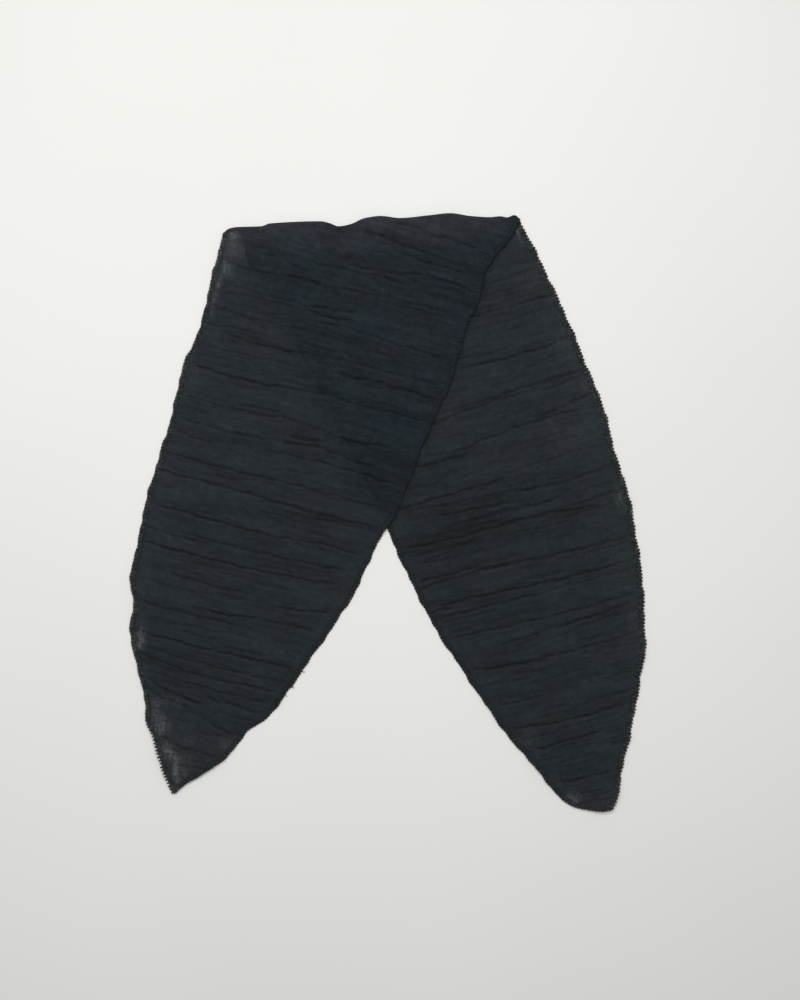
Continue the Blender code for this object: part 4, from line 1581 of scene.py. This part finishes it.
class NodeDesk:
    """A short way to write a material's nodes."""

    def __init__(self, name: str) -> None:
        """Start an empty material with an output and a shader.

        Args:
            name: The material's name.
        """
        self.material = bpy.data.materials.new(name)
        self.material.use_nodes = True
        self.tree = self.material.node_tree
        self.tree.nodes.clear()
        output = self.node("ShaderNodeOutputMaterial")
        self.shader = self.node("ShaderNodeBsdfPrincipled")
        self.put(output.inputs["Surface"], self.shader.outputs[0])

    def node(self, kind: str, **settings: object) -> bpy.types.Node:
        """Add a node.

        Args:
            kind: The node's type.
            settings: Its settings by name.

        Returns:
            The node.
        """
        node = self.tree.nodes.new(kind)
        for key, value in settings.items():
            setattr(node, key, value)
        return node

    def put(self, socket: Socket, value: object) -> None:
        """Set a socket to a number or a colour, or link it to another node's output.

        Args:
            socket: The socket.
            value: The number, the colour or the output.
        """
        if isinstance(value, bpy.types.NodeSocket):
            self.tree.links.new(value, socket)
        else:
            socket.default_value = value

    def fill(self, node: bpy.types.Node, **values: object) -> None:
        """Set sockets of a node by name.

        Args:
            node: The node.
            values: What to put in each socket, by its name with a low dash for each space.
        """
        for name, value in values.items():
            self.put(node.inputs[name.replace("_", " ")], value)

    def math(self, operation: str, *values: object, clamp: bool = False) -> Socket:
        """Add a Math node.

        Args:
            operation: What it does.
            values: Its numbers or the outputs that it takes.
            clamp: Whether the result is held between 0 and 1.

        Returns:
            The result.
        """
        node = self.node("ShaderNodeMath", operation=operation, use_clamp=clamp)
        for socket, value in zip(node.inputs, values):
            self.put(socket, value)
        return node.outputs[0]

    def product(self, *values: object) -> Socket:
        """Multiply numbers or outputs with each other.

        Args:
            values: The numbers or outputs.

        Returns:
            The product.
        """
        total = values[0]
        for value in values[1:]:
            total = self.math("MULTIPLY", total, value)
        return total

    def vector(self, x: object, y: object, z: object = 0.0) -> Socket:
        """Join three numbers into a vector.

        Args:
            x: The first number.
            y: The second number.
            z: The third number.

        Returns:
            The vector.
        """
        node = self.node("ShaderNodeCombineXYZ")
        for socket, value in zip(node.inputs, (x, y, z)):
            self.put(socket, value)
        return node.outputs[0]

    def scaled(self, colour: object, factor: object) -> Socket:
        """Scale a colour.

        Args:
            colour: The colour, or an output that gives it.
            factor: The factor.

        Returns:
            The scaled colour.
        """
        node = self.node("ShaderNodeVectorMath", operation="SCALE")
        self.put(node.inputs[0], colour)
        self.put(node.inputs["Scale"], factor)
        return node.outputs[0]

    def noise(self, vector: object, scale: float, detail: float, roughness: float) -> Socket:
        """Add a noise texture.

        Args:
            vector: Where it is read.
            scale: Its scale.
            detail: How many finer layers it has.
            roughness: How strong the finer layers are.

        Returns:
            Its factor.
        """
        node = self.node("ShaderNodeTexNoise")
        self.fill(node, Vector=vector, Scale=scale, Detail=detail, Roughness=roughness)
        return node.outputs["Fac"]

    def mix(self, share: object, first: object, second: object) -> Socket:
        """Mix two colours.

        Args:
            share: How much of the second one there is.
            first: The first colour.
            second: The second colour.

        Returns:
            The mixed colour.
        """
        node = self.node("ShaderNodeMix", data_type="RGBA")
        self.fill(node, Factor=share, A=first, B=second)
        return node.outputs["Result"]

    def spread(self, value: object, span: Span) -> Socket:
        """Map a range of numbers to another, held at its ends.

        Args:
            value: The number to map.
            span: The two ranges.

        Returns:
            The mapped number.
        """
        node = self.node("ShaderNodeMapRange")
        for socket, number in zip(node.inputs, (value, *span)):
            self.put(socket, number)
        return node.outputs["Result"]

    def bump(self, strength: float, distance: float, height: Socket, under: Socket | None = None) -> Socket:
        """Add a bump.

        Args:
            strength: How strong it is.
            distance: How high it is, in metres.
            height: The heights, from 0 to 1.
            under: The bump that it lies on.

        Returns:
            The bumped normal.
        """
        node = self.node("ShaderNodeBump")
        self.fill(node, Strength=strength, Distance=distance, Height=height)
        if under:
            self.put(node.inputs["Normal"], under)
        return node.outputs[0]

    def value_of(self, name: str) -> Socket:
        """Read a named value of the mesh."""
        return self.node("ShaderNodeAttribute", attribute_name=name).outputs["Fac"]

    def place(self) -> Socket:
        """Read the place on the object, in metres."""
        return self.node("ShaderNodeTexCoord").outputs["Object"]

    def strip(self) -> tuple[Socket, Socket]:
        """Read the coordinates of the strip.

        Returns:
            The two coordinates, in metres.
        """
        node = self.node("ShaderNodeSeparateXYZ")
        self.put(node.inputs[0], self.node("ShaderNodeUVMap", uv_map="strip").outputs[0])
        return node.outputs[0], node.outputs[1]


@dataclass(frozen=True)
class CrinkledCloth:
    """Thin black plain-weave cloth: faint threads, a soft nap, and a table that shows through thin places."""

    name: str = "crinkled_cloth"
    blue_black: Colour = (0.0113, 0.0170, 0.0222, 1.0)
    brown_black: Colour = (0.0157, 0.0168, 0.0218, 1.0)
    # The near-black that the painted shade of crease and seam lines mixes towards.
    painted_crease_shade: Colour = (0.0020, 0.0032, 0.0042, 1.0)
    roughness: float = 0.85
    specular: float = 0.1
    sheen: float = 0.03
    sheen_roughness: float = 0.5

    weft: Grain = Grain(38.0, 1100.0, 3.0, 0.6)
    warp: Grain = Grain(1300.0, 45.0, 2.0, 0.6)
    weft_share: float = 0.6
    # Soft painted shade of the slack between creases, in bands along them.
    band: Grain = Grain(14.0, 120.0, 3.0, 0.55)
    mottle: Grain = Grain(150.0, 255.0, 3.0, 0.62)
    slow: Grain = Grain(42.0, 63.0, 2.0, 0.5)
    grain: Grain = Grain(760.0, 760.0, 3.0, 0.65)
    cloud: Grain = Grain(26.0, 26.0, 2.0, 0.5)
    green: Grain = Grain(62.0, 62.0, 2.0, 0.5)
    thread_tone: Span = Span(0.36, 0.64, 0.82, 1.2)
    band_tone: Span = Span(0.34, 0.66, 0.86, 1.14)
    mottle_tone: Span = Span(0.3, 0.7, 0.76, 1.24)
    slow_tone: Span = Span(0.34, 0.66, 0.9, 1.1)
    grain_tone: Span = Span(0.3, 0.7, 0.78, 1.24)
    # Painted shade round creases and beside edges, then painted highlights on their lips and along the fold.
    painted_shade_tone: Span = Span(0.04, 1.05, 1.04, 0.53)
    painted_highlight_tone: Span = Span(0.0, 0.95, 0.97, 1.56)
    green_tone: Span = Span(0.36, 0.64, 0.955, 1.045)
    cloud_tint: Span = Span(0.4, 0.66, 0.02, 0.42)
    # The warm tint of those painted highlights.
    painted_highlight_tint: Span = Span(0.1, 0.95, 0.0, 0.95)
    # How far the painted crease shade goes towards the near-black.
    painted_crease_share: Span = Span(0.06, 1.0, 0.0, 0.74)

    see_through: float = 0.076
    sheer_more: float = 0.34
    crease_close: float = 0.8
    ribs: Grain = Grain(620.0, 110.0, 2.0, 0.6)
    patchy: Grain = Grain(520.0, 520.0, 2.0, 0.6)
    weft_open: float = 0.27
    ribs_open: float = 0.4
    grain_open: float = 0.33
    open_gaps: Span = Span(0.42, 0.58, 0.38, 1.56)
    patchy_gaps: Span = Span(0.36, 0.64, 0.45, 1.4)

    thread_pitch: float = 0.00055
    fine: Grain = Grain(90.0, 420.0, 4.0, 0.6)
    thread_rise: float = 2.0
    weave_bump: float = 0.08
    weave_depth: float = 0.0001
    crinkle_bump: float = 0.3
    crinkle_depth: float = 0.0006

    def material(self) -> bpy.types.Material:
        """Make the cloth's material, or give the one already made."""
        found = bpy.data.materials.get(self.name)
        return found if found else self._make()

    def _make(self) -> bpy.types.Material:
        """Build the nodes.

        Returns:
            The material.
        """
        desk = NodeDesk(self.name)
        across, along = desk.strip()

        def noise(grain: Grain) -> Socket:
            """Add a noise drawn out over the strip."""
            drawn = desk.vector(desk.product(across, grain.across), desk.product(along, grain.along))
            return desk.noise(drawn, 1.0, grain.detail, grain.roughness)

        weft, grain = noise(self.weft), noise(self.grain)
        threads = desk.math("ADD", desk.product(weft, self.weft_share),
                            desk.product(noise(self.warp), 1.0 - self.weft_share))
        # Painted shade in the crease and seam lines.
        crease = desk.spread(desk.value_of("crease"), self.painted_crease_share)
        # Tones: random thread, mottle and grain noise, painted shade of the slack, painted shade round
        # creases, painted highlights.
        tones = (
            (threads, self.thread_tone), (noise(self.band), self.band_tone),
            (noise(self.mottle), self.mottle_tone), (noise(self.slow), self.slow_tone),
            (grain, self.grain_tone), (desk.value_of("painted_shade"), self.painted_shade_tone),
            (desk.value_of("painted_highlight"), self.painted_highlight_tone),
        )
        shade = desk.product(*(desk.spread(value, span) for value, span in tones))
        # Tint: random clouds, and warmer where the painted highlights are.
        tint = desk.math("ADD", desk.spread(noise(self.cloud), self.cloud_tint),
                         desk.spread(desk.value_of("painted_highlight"), self.painted_highlight_tint), clamp=True)
        tinted = desk.node("ShaderNodeVectorMath", operation="MULTIPLY")
        desk.put(tinted.inputs[0], desk.mix(tint, self.blue_black, self.brown_black))
        desk.put(tinted.inputs[1], desk.vector(1.0, desk.spread(noise(self.green), self.green_tone), 1.0))
        colour = desk.mix(crease, desk.scaled(tinted.outputs[0], shade), self.painted_crease_shade)

        open_weave = desk.math("ADD", desk.product(weft, self.weft_open),
                               desk.product(noise(self.ribs), self.ribs_open))
        open_weave = desk.math("ADD", open_weave, desk.product(grain, self.grain_open))
        thin = desk.product(desk.value_of("sheer"), self.sheer_more, desk.spread(open_weave, self.open_gaps),
                            desk.spread(noise(self.patchy), self.patchy_gaps))
        closed = desk.math("SUBTRACT", 1.0, desk.product(crease, self.crease_close))
        clear = desk.product(desk.math("ADD", thin, self.see_through), closed)

        turn = 2 * math.pi / self.thread_pitch
        weave = desk.product(desk.math("SINE", desk.product(across, turn)),
                             desk.math("SINE", desk.product(along, turn)))
        heights = desk.math("ADD", weave, desk.product(threads, self.thread_rise))
        woven = desk.bump(self.weave_bump, self.weave_depth, heights)
        desk.fill(
            desk.shader, Base_Color=colour, Roughness=self.roughness, Specular_IOR_Level=self.specular,
            Sheen_Weight=self.sheen, Sheen_Roughness=self.sheen_roughness,
            Alpha=desk.math("SUBTRACT", 1.0, clear, clamp=True),
            Normal=desk.bump(self.crinkle_bump, self.crinkle_depth, noise(self.fine), woven),
        )
        return desk.material


@dataclass(frozen=True)
class OverlockThread:
    """Black spun overlock thread with its twist, painted highlights, and painted shade past the cut."""

    name: str = "overlock_thread"
    dark: Colour = (0.0060, 0.0068, 0.0068, 1.0)
    # The light colour is painted highlight on the shiny thread.
    light: Colour = (0.1220, 0.1280, 0.1170, 1.0)
    # Lighter towards the cut, then painted shade past it, where the loops shade each other and the cloth.
    inner_band: Span = Span(-0.0024, -0.0010, 1.0, 1.3)
    outer_band: Span = Span(-0.0004, 0.0004, 1.0, 0.55)
    on_knot: Span = Span(0.002, 0.003, 0.0, 1.0)
    bleach: Span = Span(0.002, 0.003, 0.0, 0.3)
    bleach_twist: Span = Span(-1.0, 1.0, 0.5, 1.0)
    # Random places of painted highlight along the thread.
    painted_glint_scale: float = 420.0
    painted_glint_detail: float = 3.0
    painted_glint_roughness: float = 0.6
    painted_glint_span: Span = Span(0.45, 0.62, 0.0, 1.0)
    # Painted highlight on the crest of each twist.
    ply: Span = Span(-1.0, 1.0, 0.3, 1.0)
    roughness: float = 0.5
    specular: float = 0.35
    twist_length: float = 0.0007
    twist_bump: float = 0.5
    twist_depth: float = 0.0001

    def material(self) -> bpy.types.Material:
        """Make the thread's material, or give the one already made."""
        found = bpy.data.materials.get(self.name)
        return found if found else self._make()

    def _make(self) -> bpy.types.Material:
        """Build the nodes.

        Returns:
            The material.
        """
        desk = NodeDesk(self.name)
        along, out = desk.strip()
        # Painted highlights: on the crest of each twist, in random places along the thread.
        twist = desk.math("SINE", desk.product(along, 2 * math.pi / self.twist_length))
        painted_glints = desk.noise(desk.place(), self.painted_glint_scale, self.painted_glint_detail, self.painted_glint_roughness)
        ply = desk.product(desk.spread(twist, self.ply), desk.spread(painted_glints, self.painted_glint_span))
        bleached = desk.product(desk.spread(out, self.bleach), desk.spread(twist, self.bleach_twist))
        colour = desk.mix(desk.math("MAXIMUM", ply, bleached), self.dark, self.light)
        # Lighter towards the cut, painted shade past it, full on the knot.
        band = desk.product(desk.spread(out, self.inner_band), desk.spread(out, self.outer_band))
        band = desk.math("MAXIMUM", band, desk.spread(out, self.on_knot))
        desk.fill(
            desk.shader, Base_Color=desk.scaled(colour, band), Roughness=self.roughness,
            Specular_IOR_Level=self.specular, Normal=desk.bump(self.twist_bump, self.twist_depth, twist),
        )
        return desk.material


@dataclass(frozen=True)
class PaleTable:
    """The plain pale surface under the scarf."""

    name: str = "pale_table"
    colour: tuple[float, float, float] = (0.80, 0.80, 0.788)
    mottle_scale: float = 3.0
    mottle_detail: float = 2.0
    mottle_roughness: float = 0.5
    mottle: Span = Span(0.3, 0.7, 0.985, 1.015)
    roughness: float = 0.6
    specular: float = 0.2

    def material(self) -> bpy.types.Material:
        """Build the nodes.

        Returns:
            The material.
        """
        desk = NodeDesk(self.name)
        mottled = desk.noise(desk.place(), self.mottle_scale, self.mottle_detail, self.mottle_roughness)
        desk.fill(
            desk.shader, Base_Color=desk.scaled(self.colour, desk.spread(mottled, self.mottle)),
            Roughness=self.roughness, Specular_IOR_Level=self.specular,
        )
        return desk.material


@dataclass(frozen=True)
class Studio:
    """The table, the lights and the camera, in metres."""

    photo_width: int = 800
    photo_height: int = 1000
    metres_per_pixel: float = 0.00075
    origin_pixel: tuple[float, float] = (387.5, 513.5)
    camera_height: float = 1.25
    table_size: float = 6.0
    sky: float = 0.25
    key_power: float = 20.6
    key_place: tuple[float, float, float] = (-0.11, 0.44, 1.42)
    key_size: float = 1.2
    key_colour: tuple[float, float, float] = (1.0, 0.995, 0.97)
    sky_colour: Colour = (1.0, 1.0, 0.995, 1.0)
    film_width: float = 36.0

    def build(self) -> None:
        """Lay the table, hang the lights and set the camera."""
        self._table()
        self._lights()
        self._camera()

    def _table(self) -> None:
        """Lay the table at the height the scarf rests on."""
        half = self.table_size / 2
        corners = np.array([[-half, -half, 0], [half, -half, 0], [half, half, 0], [-half, half, 0]])
        mesh = mesh_from("table", corners, np.array([[0, 1, 2, 3]]))
        add_piece("table", mesh, PaleTable().material())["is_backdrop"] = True

    def _lights(self) -> None:
        """Light the scene with a soft sky and one large lamp beyond the fold."""
        scene = bpy.context.scene
        world = bpy.data.worlds.new("soft_sky")
        world.use_nodes = True
        background = world.node_tree.nodes["Background"]
        background.inputs["Color"].default_value = self.sky_colour
        background.inputs["Strength"].default_value = self.sky
        scene.world = world
        scene.view_settings.view_transform = "Standard"
        lamp = bpy.data.lights.new("window", "AREA")
        lamp.shape = "DISK"
        lamp.size = self.key_size
        lamp.energy = self.key_power
        lamp.color = self.key_colour
        window = bpy.data.objects.new("window", lamp)
        window.location = self.key_place
        scene.collection.objects.link(window)

    def _camera(self) -> None:
        """Look straight down on the photograph's frame."""
        middle_x = (self.photo_width / 2 - self.origin_pixel[0]) * self.metres_per_pixel - MIDDLE[0] * MM
        middle_y = (self.origin_pixel[1] - self.photo_height / 2) * self.metres_per_pixel - MIDDLE[1] * MM
        data = bpy.data.cameras.new("above")
        data.sensor_width = self.film_width
        data.lens = data.sensor_width * self.camera_height / (self.photo_height * self.metres_per_pixel)
        camera = bpy.data.objects.new("above", data)
        camera.location = (middle_x, middle_y, self.camera_height)
        bpy.context.scene.collection.objects.link(camera)
        bpy.context.scene.camera = camera


@dataclass
class Scarf:
    """The whole scarf: two shells of cloth and four overlocked edges."""

    ramp_flat: float = 1.5
    ramp_run: float = 8.0
    strip_width: float = 0.196
    under_left_x: float = -110.6
    over_left_x: float = -122.8
    step_close: float = 0.1
    step_blur: float = 5.0
    wide_close: float = 0.035
    wide_reach: float = 28.0
    # Painted shade on the lower stretch beside the upper one's edge.
    contact_shade: float = 0.3
    contact_reach: float = 9.0
    looks: dict[tuple[str, Side], EdgeLook] = field(default_factory=lambda: {
        ("over", Side.LEFT): EdgeLook(3.0, 0.55, 1.35, SeamFace.UPPER, closing_until=TIP_START),
        ("over", Side.RIGHT): EdgeLook(3.1, 0.6, 0.6, SeamFace.LOWER, OVER_RIGHT_ENDS),
        ("under", Side.LEFT): EdgeLook(3.0, 0.6, 0.6, SeamFace.LOWER),
        ("under", Side.RIGHT): EdgeLook(3.1, 0.95, 0.95, SeamFace.UPPER, closing=BEADS),
    })

    def _base_over(self, x: Array, y: Array) -> Array:
        """Give the height that the upper stretch lies at.

        Args:
            x: The x of each point, on the page.
            y: The y of each point.

        Returns:
            The height of what it lies on.
        """
        away = signed_distance(UNDER.outline(OUTLINE_POINTS), x, y)
        return LAYER * (1.0 - smooth_step((away - self.ramp_flat) / self.ramp_run))

    def _beside_under(self, x: Array, y: Array) -> Beside:
        """Give what the lower stretch does to the upper one where it comes out from under it.

        Args:
            x: The x of each point, on the page.
            y: The y of each point.

        Returns:
            Less light through the cloth close to the hidden edge, and no shade.
        """
        away = signed_distance(UNDER.outline(OUTLINE_POINTS), x, y)
        near = self.step_close * (1.0 - smooth_step((away + self.step_blur) / (2 * self.step_blur)))
        return Beside(near + self.wide_close * (1.0 - smooth_step(away / self.wide_reach)), 0 * x)

    def _beside_over(self, x: Array, y: Array) -> Beside:
        """Give what the upper stretch does to the lower one beside its edge.

        Args:
            x: The x of each point, on the page.
            y: The y of each point.

        Returns:
            No less light through the cloth, and a soft painted shade beside the upper edge.
        """
        away = signed_distance(OVER.outline(OUTLINE_POINTS), x, y)
        return Beside(0 * x, self.contact_shade * (1.0 - smooth_step(away / self.contact_reach)))

    def build(self) -> None:
        """Make every piece, fix it to the root body, and hide the solids that it stands for."""
        cloth = CrinkledCloth()
        threads_by_face = {
            SeamFace.UPPER: OverlockThread(),
            # The lower face: weaker painted highlights, and deeper painted shade past the cut.
            SeamFace.LOWER: OverlockThread(
                SeamFace.LOWER.value, dark=(0.0066, 0.0082, 0.0096, 1.0), light=(0.0270, 0.0315, 0.0350, 1.0),
                inner_band=Span(-0.0024, -0.0010, 1.0, 1.2), outer_band=Span(-0.0010, 0.0001, 1.0, 0.3),
            ),
        }
        under_fold = FoldLine(left_x=self.under_left_x)
        shells = {
            UNDER.name: ClothShell(UNDER, Relief(UNDER), under_fold, lambda x, y: 0 * x,
                                   self._beside_over, with_turn=False, band=3.1, seam_side=Side.RIGHT),
            OVER.name: ClothShell(OVER, Relief(OVER), FoldLine(left_x=self.over_left_x), self._base_over,
                                  self._beside_under, with_turn=True, band=3.2, seam_side=Side.LEFT),
        }
        for name, shell in shells.items():
            piece = shell.build(f"{name}_cloth", cloth)
            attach(piece, "root")
            nodes = [f"{name}_leg"] + (["fold_turn"] if shell.with_turn else [])
            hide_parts(*nodes)
            for side in Side:
                node = f"{name}_leg_{side.name.lower()}_edge"
                look = self.looks[name, side]
                overlock = OverlockEdge(shell.edge(side), shell.stretch.seed * 10 + side.value, look)
                thread = threads_by_face[look.face]
                knot = TIP_KNOT if (name, side) == ("over", Side.LEFT) else None
                edging = overlock.build(f"{name}_{side.name.lower()}_overlock", thread, knot)
                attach(edging, "root")
                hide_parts(node)
            shell.stretch.flat_area() * MM * MM


def write_sizes() -> None:
    """Work out the box of the solids and the box of the dressed part."""
    boxes = {"cad": CAD_BOX, "visual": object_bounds()}
    plain = {name: [[float(v) for v in corner] for corner in box] for name, box in boxes.items()}


def main() -> None:
    """Build the table, lights and camera, then the scarf."""
    logging.basicConfig(level=logging.INFO, format="%(name)s %(message)s")
    Studio().build()
    Scarf().build()
    write_sizes()


if __name__ == "__main__":
    main()
